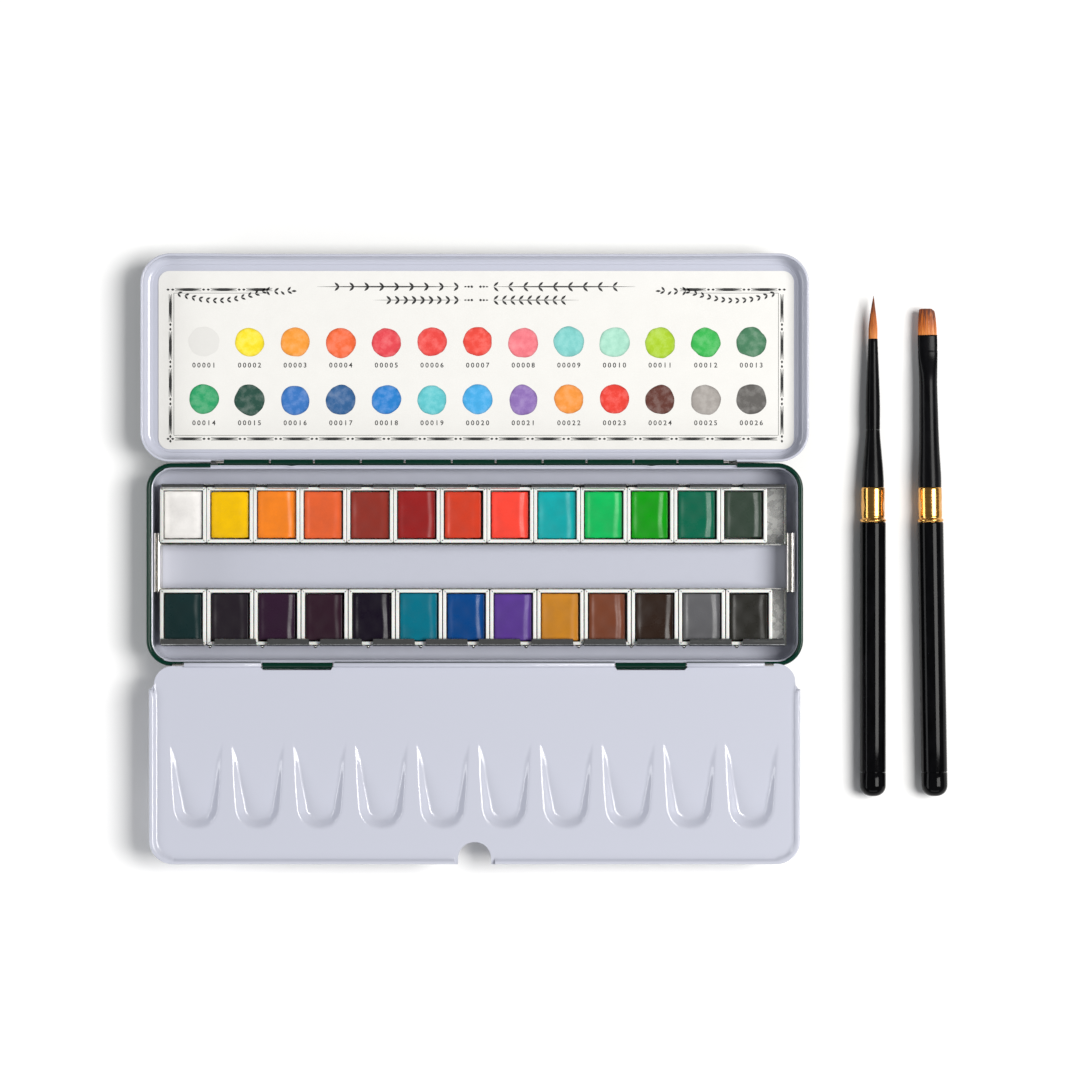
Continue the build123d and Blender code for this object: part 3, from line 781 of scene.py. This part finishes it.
        # rims: a flat-topped band that slopes down to the sheet inside
        from_side = half - a
        from_front = yy - front
        corner = corner_r - np.hypot(np.clip(a - half + corner_r, 0, None),
                                     np.clip(front + corner_r - yy, 0, None))
        in_corner = (a > half - corner_r) & (yy < front + corner_r)
        out = np.where(in_corner, corner, np.minimum(from_side, from_front * 1.35))
        rise = soft_min(rim_h + 0 * out, soft_max(0 * out, (width - out) * 1.15, 0.5), 0.5)
        rise *= np.sqrt(np.clip(1 - (1 - np.clip(out / 0.45, 0, 1)) ** 2, 0.16, 1))
        rise *= smooth((-42.4 - yy) / 0.5) * (a > rim_gap)
        z = top - depth + rise
        thick = np.full_like(z, 0.36)
        thick[:, [0, -1]] = 0.0
        upper = np.stack([x, yy, z], -1)
        lower = np.stack([x, yy, z - thick], -1)[::-1]
        coat = enamel("palette_enamel", tin.pale, tin.pale)
        leaf = Shape().add(np.concatenate([upper, lower]), wrap_rows=True, flip=True, coat=0.0)
        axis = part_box("front_hinge_pin")
        hy, hz = (axis[0].y + axis[1].y) / 2 / MM, (axis[0].z + axis[1].z) / 2 / MM
        for xa, xb in tubes:
            leaf.add(ring_bar(xa, xb, hy, hz, 0.8, 0.45), wrap_rows=True, wrap_cols=True, flip=True, coat=0.0)
        leaf.build("mixing_leaf", coat, "palette", "palette_enamel", ["palette_leaf"], crease=50)
        return {"FINISHED"}


class PANSET_OT_rack(bpy.types.Operator):
    """Tinplate rack: two trays joined by folded end strips, rolled clips and small stops"""
    bl_idname = "pan_set.rack"
    bl_label = "Pan rack"

    def execute(self, context):
        metal = tinplate("rack_tinplate", (0.62, 0.62, 0.60))
        low, high = node_box("pan_rack")
        floor, t = low[2] + 0.2, 0.4
        x0, x1 = -108.25, 107.3
        tray, clips, strips = Shape(), Shape(), Shape()
        roll_z = high[2] - 0.85
        for side, lip, wall, roll in ((1, 6.6, 27.65, 26.8), (-1, -8.1, -27.95, -26.1)):
            a, b = lip + side * 0.2, wall - side * 0.2
            line = [(a, 5.5), (a, floor + 0.5), (a + side * 0.15, floor + 0.14), (a + side * 0.5, floor),
                    (b - side * 0.5, floor), (b - side * 0.15, floor + 0.14), (b, floor + 0.5), (b, 3.6)]
            tray.add(ribbon(line, x0, x1, t), wrap_cols=True, caps=(True, True))
            for xe, inward in ((x0 + 0.2, 1), (x1 - 0.2, -1)):      # low upstand at each end
                u = np.array([(xe, 3.0), (xe, floor + 0.4), (xe + inward * 0.4, floor + 0.02)])
                bar = ribbon(u, min(a, b) + 0.3, max(a, b) - 0.3, t * 0.9)
                tray.add(bar[..., [1, 0, 2]], wrap_cols=True, caps=(True, True), flip=True)
            span = abs(wall - roll) - 0.2
            mid = 0.65
            turn = np.radians(np.linspace(0, 255, 15))
            curl = np.c_[roll - side * mid * np.sin(turn), roll_z + mid * np.cos(turn)]
            rise = [(b, 3.2), (b, 8.0), (b, roll_z - 0.6)]
            if span > 1.2:
                rise += [(b - side * 0.1, roll_z + 0.2), (b - side * 0.6, roll_z + 0.55)]
            else:
                rise += [(b - side * 0.05, roll_z + 0.25), (b - side * 0.25, roll_z + 0.55)]
            line = np.concatenate([rise, curl])
            taper = np.concatenate([np.zeros(len(rise) - 1), [0.1], np.linspace(0.2, 0.75, 15)])
            for k in range(12):
                xc = -99.9 + 18.06 * k
                clips.add(ribbon(line, xc - 7.3, xc + 7.3, 0.36, taper), wrap_cols=True, caps=(True, True))
                if k and side < 0:
                    xg = xc - 9.03
                    stop = [(b, 3.2), (b, 7.0), (b + side * 0.05, 8.6), (b + side * 0.1, 9.3)]
                    clips.add(ribbon(stop, xg - 1.1, xg + 1.1, 0.34, [0, 0, 0.15, 0.6]), wrap_cols=True,
                              caps=(True, True))
                    u = np.linspace(0, np.pi, 9)
                    ball = np.c_[0.62 * np.sin(u), 0.62 * np.cos(u)]
                    ball[[0, -1], 0] = 0.01
                    g = lathe(ball, 14)[..., [0, 2, 1]]
                    clips.add(g + (xg, wall + side * 0.15, 9.5), wrap_cols=True, caps=(True, True))
        for side, xe, reach in ((-1, x0, 109.9), (1, x1, 109.6)):
            line = [(xe - side * 0.2, floor - 0.1), (xe - side * 0.2, 9.5), (xe - side * 0.1, 10.0),
                    (xe + side * 0.2, 10.15), (xe + side * 0.75, 10.15), (xe + side * 0.95, 9.8),
                    (xe + side * 1.15, 10.15), (side * (reach - 0.2), 10.15), (side * reach, 10.0),
                    (side * (reach + 0.02), 8.6)]
            bar = ribbon(line, -9.4, 10.75, 0.36)
            strips.add(bar[..., [1, 0, 2]], wrap_cols=True, caps=(True, True), flip=True)
        bright = tinplate("strip_tinplate", (0.74, 0.71, 0.66), (14, 0.6, 14), (0.14, 0.2))
        strips.build("rack_end_strips", bright, "rack", "rack_tinplate", crease=50)
        tray.build("rack_trays", metal, "rack", "rack_tinplate", ["pan_rack"], crease=50)
        # painted shade: the clips get a darker copy of the rack tinplate for the dark reflection they show
        # from above
        clips.build("rack_clips", tinplate("clip_tinplate_painted_shade", (0.42, 0.42, 0.41), rough=(0.12, 0.2)), "rack",
                    "rack_tinplate", crease=50)
        return {"FINISHED"}


def pan_places():
    """Middle of each half pan, rear row then front row, and the rows' y centres."""
    rows = []
    for node, pitch in (("half_pans_rear_row", 16.0), ("half_pans_front_row", 16.15)):
        low, high = node_box(node)
        y = (low[1] + high[1]) / 2
        rows.append([(low[0] + 7.9 + pitch * k, y, low[2], high[2]) for k in range(13)])
    return rows


class PANSET_OT_pans(bpy.types.Operator):
    """Half pans with rounded rims and slightly drawn-in walls"""
    bl_idname = "pan_set.pans"
    bl_label = "Half pans"

    def execute(self, context):
        plastic = moulded_plastic("pan_plastic", context.scene.pan_set_paints.plastic)
        for row, node in zip(pan_places(), ("half_pans_rear_row", "half_pans_front_row")):
            pans = Shape()
            for x, y, base, top in row:
                path, normals = rounded_loop(7.9, 9.5, 0.6, x, y, corner=6, along=(1, 1))
                outside = [(0.45, base), (0.3, base + 0.15), (0.12, base + 4), (0.0, top - 0.35)]
                rim = np.concatenate([arc(0.12, top - 0.12, 0.12, 180, 90, 4),
                                      arc(0.97, top - 0.1, 0.1, 90, 0, 4)])
                inside = [(1.12, top - 1.2), (1.2, top - 4), (1.25, base + 1.8), (1.6, base + 1.6)]
                profile = np.concatenate([outside, rim, inside])
                pans.add(carry(path, normals, profile), wrap_cols=True, caps=(True, True), flip=True)
            pans.build(node.replace("_row", ""), plastic, "rack", "pan_plastic", [node], crease=50)
        return {"FINISHED"}


CAKES = [("white", "ECE9E6"), ("yellow", "E9B807"), ("orange", "EC8024"), ("vermilion", "D85D30"),
         ("red_brown", "8A3026"), ("deep_red", "912121"), ("red", "C83C24"), ("coral", "F34738"),
         ("teal", "059FA1"), ("emerald", "07B056"), ("green", "0A930D"), ("dark_green", "036046"),
         ("black_green", "314035"), ("dark_teal", "152C2D"), ("night_violet", "221B23"),
         ("dark_purple", "2E192D"), ("plum", "2C1523"), ("black_violet", "130A1B"),
         ("teal_blue", "046B80"), ("blue", "034180"), ("violet", "553589"), ("ochre", "BE7D23"),
         ("brown", "6E3A24"), ("dark_brown", "2C1D15"), ("grey", "5D5D60"), ("black", "262521")]


class PANSET_OT_paints(bpy.types.Operator):
    """Paint cakes: each shrunk a little from its pan, with a dried ridge round a shallow hollow"""
    bl_idname = "pan_set.paints"
    bl_label = "Paint cakes"

    def execute(self, context):
        look = context.scene.pan_set_paints
        places = sum(pan_places(), [])
        u = np.tanh(np.linspace(-1.5, 1.5, 45)) / math.tanh(1.5)
        v = np.tanh(np.linspace(-1.5, 1.5, 49)) / math.tanh(1.5)
        V, U = np.meshgrid(v, u, indexing="ij")
        for k, ((name, code), (x, y, base, top)) in enumerate(zip(CAKES, places)):
            rng = np.random.default_rng(look.seed * 100 + k)
            gap = rng.uniform(0.02, 0.14, 4) + np.array([0.05, 0.5, 0.25, 0.2]) * rng.random(4) ** 1.5
            x_low, x_high = x - 6.62 + gap[0], x + 6.62 - gap[1]
            y_low, y_high = y - 8.22 + gap[2], y + 8.22 - gap[3]
            hx, hy = (x_high - x_low) / 2, (y_high - y_low) / 2
            # square grid with its corners eased round and its outline a little uneven
            X, Y = U * hx, V * hy
            r = rng.uniform(0.35, 0.7)
            cx, cy = np.clip(np.abs(X) - (hx - r), 0, None), np.clip(np.abs(Y) - (hy - r), 0, None)
            pull = np.maximum(cx, cy) / np.maximum(np.hypot(cx, cy), 1e-9)
            X = np.sign(X) * np.where(cx > 0, hx - r + cx * pull, np.abs(X))
            Y = np.sign(Y) * np.where(cy > 0, hy - r + cy * pull, np.abs(Y))
            phase = rng.uniform(0, 6.3, 8)
            wave = 0.5 + 0.5 * np.sin(Y * 0.5 + phase[0]) * np.sin(Y * 1.9 + phase[1])
            X = X - 0.10 * wave * np.abs(U) ** 6 * np.sign(U)
            wave = 0.5 + 0.5 * np.sin(X * 0.6 + phase[2]) * np.sin(X * 1.7 + phase[3])
            Y = Y - 0.12 * wave * np.abs(V) ** 6 * np.sign(V)
            inset = np.minimum((1 - np.abs(U)) * hx, (1 - np.abs(V)) * hy)
            # one long low step near the right edge, a hollow in the middle, rounded border
            bent = 0.25 * np.sin(Y * 0.3 + phase[6])
            step_height = look.ridge * rng.uniform(0.4, 2.9)
            step_x = hx - rng.uniform(2.8, 3.6)
            step = step_height * smooth((X + bent - step_x) / 2.1)
            edge_left = 0.5 * look.ridge * rng.random() * np.exp(-((X + hx - 1.0) / 0.6) ** 2)
            bowl = rng.uniform(0.1, 0.35) * (1 - U ** 4) * (1 - V ** 4)
            lean = rng.uniform(-0.1, 0.1) * U + rng.uniform(-0.1, 0.1) * V
            round_off = 0.5 * (1 - np.sqrt(np.clip(1 - (1 - np.clip(inset / 0.5, 0, 1)) ** 2, 0, 1)))
            lumps = 0.035 * np.sin(X * 0.9 + phase[4]) * np.sin(Y * 0.7 + phase[5])
            Z = top - 0.95 - step + edge_left - bowl + lean - round_off + lumps
            Z = np.minimum(Z, top - 0.72)
            grid = np.stack([X + (x_low + x_high) / 2, Y + (y_low + y_high) / 2, Z], -1)
            cake = Shape().add(grid, flip=True, rim=np.exp(-((inset - 1.3) / 0.9) ** 2))
            border = np.concatenate([grid[0, :-1], grid[:-1, -1], grid[-1, :0:-1], grid[:0:-1, 0]])
            skirt = np.stack([border, border * (1, 1, 0) + (0, 0, base + 1.65)])
            cake.add(skirt, wrap_cols=True, caps=(False, True), rim=0.3)
            gloss = 0.26 + 0.10 * rng.random()
            node = "paint_%02d_%s" % (k + 1, name)
            cake.build("cake_" + name, paint_cake("cake_" + name, hex_colour(code), gloss), "rack",
                       "paint_%02d" % (k + 1), [node], crease=60)
        return {"FINISHED"}


def brush_place(kind):
    """Function that carries local brush points (axis along +Y, mouth of the handle at 0) into place."""
    low, high = node_box(kind + "_handle")
    pull = next(j for j in frame["joints"] if j["name"] == kind + "_head_pull")["axis"]
    lean = -np.array(pull[:2])
    z = (low[2] + high[2]) / 2
    side = np.array([lean[1], -lean[0]])
    middle = np.array([(low[0] + high[0]) / 2, (low[1] + high[1]) / 2])
    mouth = middle + lean * 43.0

    def place(grid):
        plan = mouth + grid[..., :1] * side + grid[..., 1:2] * lean
        return np.concatenate([plan, grid[..., 2:] + z], -1)
    return place


def curve_through(points, steps=8):
    """Smooth line through (radius, y) points: each stretch is a cubic with matched slopes."""
    p = np.asarray(points, float)
    s = np.arange(len(p))
    u = np.linspace(0, len(p) - 1, (len(p) - 1) * steps + 1)
    i = np.minimum(u.astype(int), len(p) - 2)
    f = (u - i)[:, None]
    slope = np.gradient(p, s, axis=0)
    return ((2 * f ** 3 - 3 * f ** 2 + 1) * p[i] + (f ** 3 - 2 * f ** 2 + f) * slope[i]
            + (3 * f ** 2 - 2 * f ** 3) * p[i + 1] + (f ** 3 - f ** 2) * slope[i + 1])


class PANSET_OT_brushes(bpy.types.Operator):
    """Handles, end caps, collars, necks and ferrules of the two pocket brushes"""
    bl_idname = "pan_set.brushes"
    bl_label = "Brush metal and handles"

    def execute(self, context):
        look = context.scene.pan_set_brushes
        black = lacquer("handle_lacquer", look.lacquer)
        steel = lacquer("ferrule_black", shade(look.lacquer, 1.6), 0.22, 0.08)
        gold = gilt("collar_gilt", look.gilt)
        for kind in ("round", "flat"):
            place = brush_place(kind)
            body, head = kind + "_brush", kind + "_head"
            handle = [(3.55, -85.9), (3.56, -0.25), (3.75, 0.0), (4.2, 0.0), (4.41, -0.22), (4.44, -0.6),
                      (4.44, -30), (4.44, -60), (4.44, -85.6), (4.38, -85.9)]
            Shape().add(place(lathe(handle, 56)), wrap_rows=True, wrap_cols=True, flip=True).build(
                kind + "_handle_tube", black, body, "handle_black", [kind + "_handle"], crease=40)
            end = np.concatenate([
                [(0.01, -83.2), (3.45, -83.2), (3.45, -86.05), (4.3, -86.05), (4.44, -86.25), (4.44, -90.4)],
                arc(0.74, -90.6, 3.7, 0, -80, 9), [(0.7, -94.28), (0.01, -94.3)]])
            Shape().add(place(lathe(end, 56)), wrap_cols=True, caps=(True, True), flip=True).build(
                kind + "_handle_cap", black, body, "handle_black", [kind + "_end_cap"], crease=50)
            ring = np.concatenate([
                [(0.01, -8.0), (3.2, -8.0), (3.45, -7.7), (3.45, 0.02), (4.3, 0.04)],
                arc(4.12, 0.62, 0.43, -60, 80, 7), [(3.98, 1.35), (3.93, 1.6), (4.05, 1.9)],
                [(4.08, 4.0), (4.08, 8.0), (4.08, 11.4), (4.02, 11.75), (3.85, 11.95)], [(0.01, 11.97)]])
            band = np.c_[np.full(22, 4.08), np.linspace(2.3, 11.3, 22)]
            dense = np.concatenate([ring[:15], band, ring[18:]])
            grid = lathe(dense, 72)
            turn = np.arctan2(grid[..., 2], grid[..., 0])
            for centre in (0.35, math.pi - 0.35):       # crimp marks pressed in on both sides
                dist = np.hypot(np.angle(np.exp(1j * (turn - centre))) * 4.08, (grid[..., 1] - 5.6) * 0.62)
                mark = (0.34 * np.exp(-(dist / 0.85) ** 2)
                        * ((grid[..., 1] > 2.2) & (grid[..., 1] < 11.0)))[..., None]
                grid = np.concatenate([grid[..., :1] * (1 - mark / 4.08), grid[..., 1:2],
                                       grid[..., 2:] * (1 - mark / 4.08)], -1)
            Shape().add(place(grid), wrap_cols=True, caps=(True, True)).build(
                kind + "_collar_ring", gold, head, "collar_gold", [kind + "_collar"], crease=50)
            if kind == "round":
                waist = [(3.78, 12.0), (3.74, 14.5), (3.45, 19), (2.95, 24.5), (2.55, 29), (2.4, 31.7)]
                cone = [(2.34, 31.85), (2.42, 32.1), (2.46, 35), (2.47, 40), (2.22, 48), (1.9, 56),
                        (1.62, 62.9)]
            else:
                waist = [(3.95, 12.0), (3.94, 15.5), (3.75, 20), (3.5, 25), (3.38, 29), (3.32, 31.7)]
                cone = [(3.24, 31.85), (3.28, 32.1), (3.24, 36), (3.14, 43), (3.09, 47.5)]
            neck = np.concatenate([[(0.01, 12.0)], curve_through(waist, 6), [(0.01, 31.75)]])
            Shape().add(place(lathe(neck, 48)), wrap_cols=True, caps=(True, True)).build(
                kind + "_neck_taper", steel, head, "ferrule_black", [kind + "_neck"], crease=50)
            line = curve_through(cone, 5)
            if kind == "round":
                line = np.concatenate([[(0.01, 31.8)], line,
                                       [(1.55, 63.1), (1.35, 62.9), (1.3, 61.5), (0.01, 61.4)]])
                grid = lathe(line, 48)
            else:
                # round tube flattened to an oval: radii part as the height goes from 47 to 59 mm
                flat_y = np.linspace(48.2, 64.35, 30)
                line = np.concatenate([[(0.01, 31.8)], line, np.c_[np.full(30, 3.1), flat_y],
                                       [(3.0, 64.4), (2.9, 64.2), (2.85, 63.2), (0.01, 63.1)]])
                grid = lathe(line, 64)
                y = grid[..., 1]
                squeeze = smooth((y - 47.5) / 11.5)
                ridge = 0.10 * (np.exp(-((y - 59.4) / 0.35) ** 2))
                grid[..., 0] *= 1 + squeeze * (0.09 - ridge * 0.3)
                grid[..., 2] *= 1 - squeeze * (0.55 + ridge * 0.6)
            Shape().add(place(grid), wrap_cols=True, caps=(True, True)).build(
                kind + "_ferrule_tube", steel, head, "ferrule_black", [kind + "_ferrule"], crease=50)
        return {"FINISHED"}


class PANSET_OT_bristles(bpy.types.Operator):
    """Tufts of hair: a streaked core with single hairs laid over it"""
    bl_idname = "pan_set.bristles"
    bl_label = "Bristles"

    def execute(self, context):
        look = context.scene.pan_set_brushes
        fibre = hair("hair")
        for kind in ("round", "flat"):
            place, rng = brush_place(kind), np.random.default_rng(31)
            n = 40
            s = np.linspace(0, 1, n)
            if kind == "round":
                start, length = 62.2, 15.8
                r = np.interp(s, [0, .15, .29, .43, .58, .72, .87, .95, 1],
                              [1.45, 1.5, 1.46, 1.27, 1.0, .68, .32, .14, .02])
                wide, thick, sway = r, r, 0.2 * s ** 2
            else:
                start, length = 63.6, 9.9
                wide = np.interp(s, [0, .3, .6, .85, 1], [3.12, 3.1, 2.98, 2.75, 2.5])
                thick = np.interp(s, [0, .3, .6, .85, 1], [1.2, 1.15, .95, .62, .36])
                sway = -0.12 * s
            t = np.linspace(0, 2 * np.pi, 96, endpoint=False)
            groove = 1 + 0.025 * np.sin(17 * t + 1)[None] + 0.02 * np.sin(29 * t + 2)[None]
            x = wide[:, None] * np.cos(t) * groove + sway[:, None]
            z = thick[:, None] * np.sin(t) * groove
            reach = length * s[:, None] * np.ones_like(x)
            if kind == "flat":                         # chisel end, one corner worn round
                u = np.cos(t)[None]
                short = 0.07 * smooth((u - 0.55) / 0.45) + 0.02 * smooth((-u - 0.7) / 0.3)
                reach = reach * (1 - short * s[:, None] ** 2)
            core = np.stack([x, start + reach, z], -1)
            tuft = Shape().add(place(core), wrap_cols=True, caps=(True, True), along=s[:, None],
                               strand=0.5 + 0.2 * np.sin(11 * t)[None])
            sides, rings = 3, 12
            ring = np.linspace(0, 1, rings)
            for _ in range(look.hairs):
                angle, depth = rng.uniform(0, 2 * np.pi), rng.uniform(0.9, 1.02)
                reach_to = rng.uniform(0.86, 1.0) if kind == "flat" else rng.uniform(0.55, 1.0)
                h = ring * reach_to
                w, d = np.interp(h, s, wide), np.interp(h, s, thick)
                if kind == "flat":
                    u = math.cos(angle)
                    stretch = 1 - 0.07 * float(smooth((u - 0.55) / 0.45))
                else:
                    stretch = 1.0
                cx = w * depth * math.cos(angle) + np.interp(h, s, sway) + rng.normal(0, 0.03) * h ** 2
                cz = d * depth * math.sin(angle)
                cy = start + length * h * stretch
                size = 0.055 * (1 - 0.8 * ring ** 3)
                a = np.linspace(0, 2 * np.pi, sides, endpoint=False)
                grid = np.stack([cx[:, None] + size[:, None] * np.cos(a), np.repeat(cy[:, None], sides, 1),
                                 cz[:, None] + size[:, None] * np.sin(a)], -1)
                tuft.add(place(grid), wrap_cols=True, caps=(True, True), along=h[:, None],
                         strand=rng.random())
            tuft.build(kind + "_tuft", fibre, kind + "_head", "bristle", [kind + "_bristles"], crease=60)
        return {"FINISHED"}


class PANSET_OT_stage(bpy.types.Operator):
    """Pale table, soft light from the right and the camera overhead"""
    bl_idname = "pan_set.stage"
    bl_label = "Table, light and camera"

    def execute(self, context):
        scene = context.scene
        scene.view_settings.view_transform = "Standard"
        half = 3.0
        mesh = bpy.data.meshes.new("table")
        corners = [(-half, -half, 0), (half, -half, 0), (half, half, 0), (-half, half, 0)]
        mesh.from_pydata(corners, [], [(0, 1, 2, 3)])
        mesh.materials.append(tabletop("tabletop"))
        table = bpy.data.objects.new("table", mesh)
        scene.collection.objects.link(table)
        world = bpy.data.worlds.new("room")
        scene.world = world
        world.use_nodes = True
        background = world.node_tree.nodes["Background"].inputs
        background["Color"].default_value = (0.95, 0.97, 1.0, 1.0)
        background["Strength"].default_value = 0.15
        aim = np.array([0.02, 0.0, 0.01])
        for name, place, size, power, tint in (
                ("window", (1.20, 0.05, 1.74), (1.05, 1.05), 50.0, (1.0, 0.99, 0.97)),
                ("left_card", (-1.45, 0.05, 0.60), (2.0, 0.5), 13.0, (0.97, 0.98, 1.0)),
                ("near_card", (0.1, -1.6, 0.75), (2.0, 0.6), 6.5, (0.97, 0.98, 1.0))):
            lamp = bpy.data.lights.new(name, "AREA")
            lamp.shape, lamp.size, lamp.size_y = "RECTANGLE", size[0], size[1]
            lamp.energy, lamp.color = power, tint
            obj = bpy.data.objects.new(name, lamp)
            scene.collection.objects.link(obj)
            obj.location = place
            obj.rotation_euler = (Vector(aim) - Vector(place)).to_track_quat("-Z", "Y").to_euler()
        lens = bpy.data.cameras.new("camera")
        lens.angle = 2 * math.atan(184.3 / 1200.0)
        lens.clip_start, lens.clip_end = 0.05, 20.0
        camera = bpy.data.objects.new("camera", lens)
        camera.location = (0.0223, 0.0084, 1.215)
        scene.collection.objects.link(camera)
        scene.camera = camera
        return {"FINISHED"}


class PANSET_PT_panel(bpy.types.Panel):
    """Lists the build steps"""
    bl_idname = "PANSET_PT_panel"
    bl_label = "Watercolour pan set"
    bl_space_type = "VIEW_3D"
    bl_region_type = "UI"
    bl_category = "Pan Set"

    def draw(self, context):
        for group in (context.scene.pan_set_tin, context.scene.pan_set_paints, context.scene.pan_set_brushes):
            for key in group.bl_rna.properties.keys():
                if key not in ("rna_type", "name"):
                    self.layout.prop(group, key)
        for step in STEPS:
            self.layout.operator(step.bl_idname)


GROUPS = {"pan_set_tin": PanSetTin, "pan_set_paints": PanSetPaints, "pan_set_brushes": PanSetBrushes}
STEPS = (PANSET_OT_base, PANSET_OT_lid, PANSET_OT_card, PANSET_OT_palette, PANSET_OT_rack, PANSET_OT_pans,
         PANSET_OT_paints, PANSET_OT_brushes, PANSET_OT_bristles, PANSET_OT_stage)


def register():
    for item in (*GROUPS.values(), *STEPS, PANSET_PT_panel):
        bpy.utils.register_class(item)
    for key, group in GROUPS.items():
        setattr(bpy.types.Scene, key, PointerProperty(type=group))


def unregister():
    for key in GROUPS:
        delattr(bpy.types.Scene, key)
    for item in reversed((*GROUPS.values(), *STEPS, PANSET_PT_panel)):
        bpy.utils.unregister_class(item)


def main():
    """Registers the add-on and builds every piece."""
    register()
    for step in STEPS:
        space, name = step.bl_idname.split(".")
        getattr(getattr(bpy.ops, space), name)()


if __name__ == "__main__":
    main()
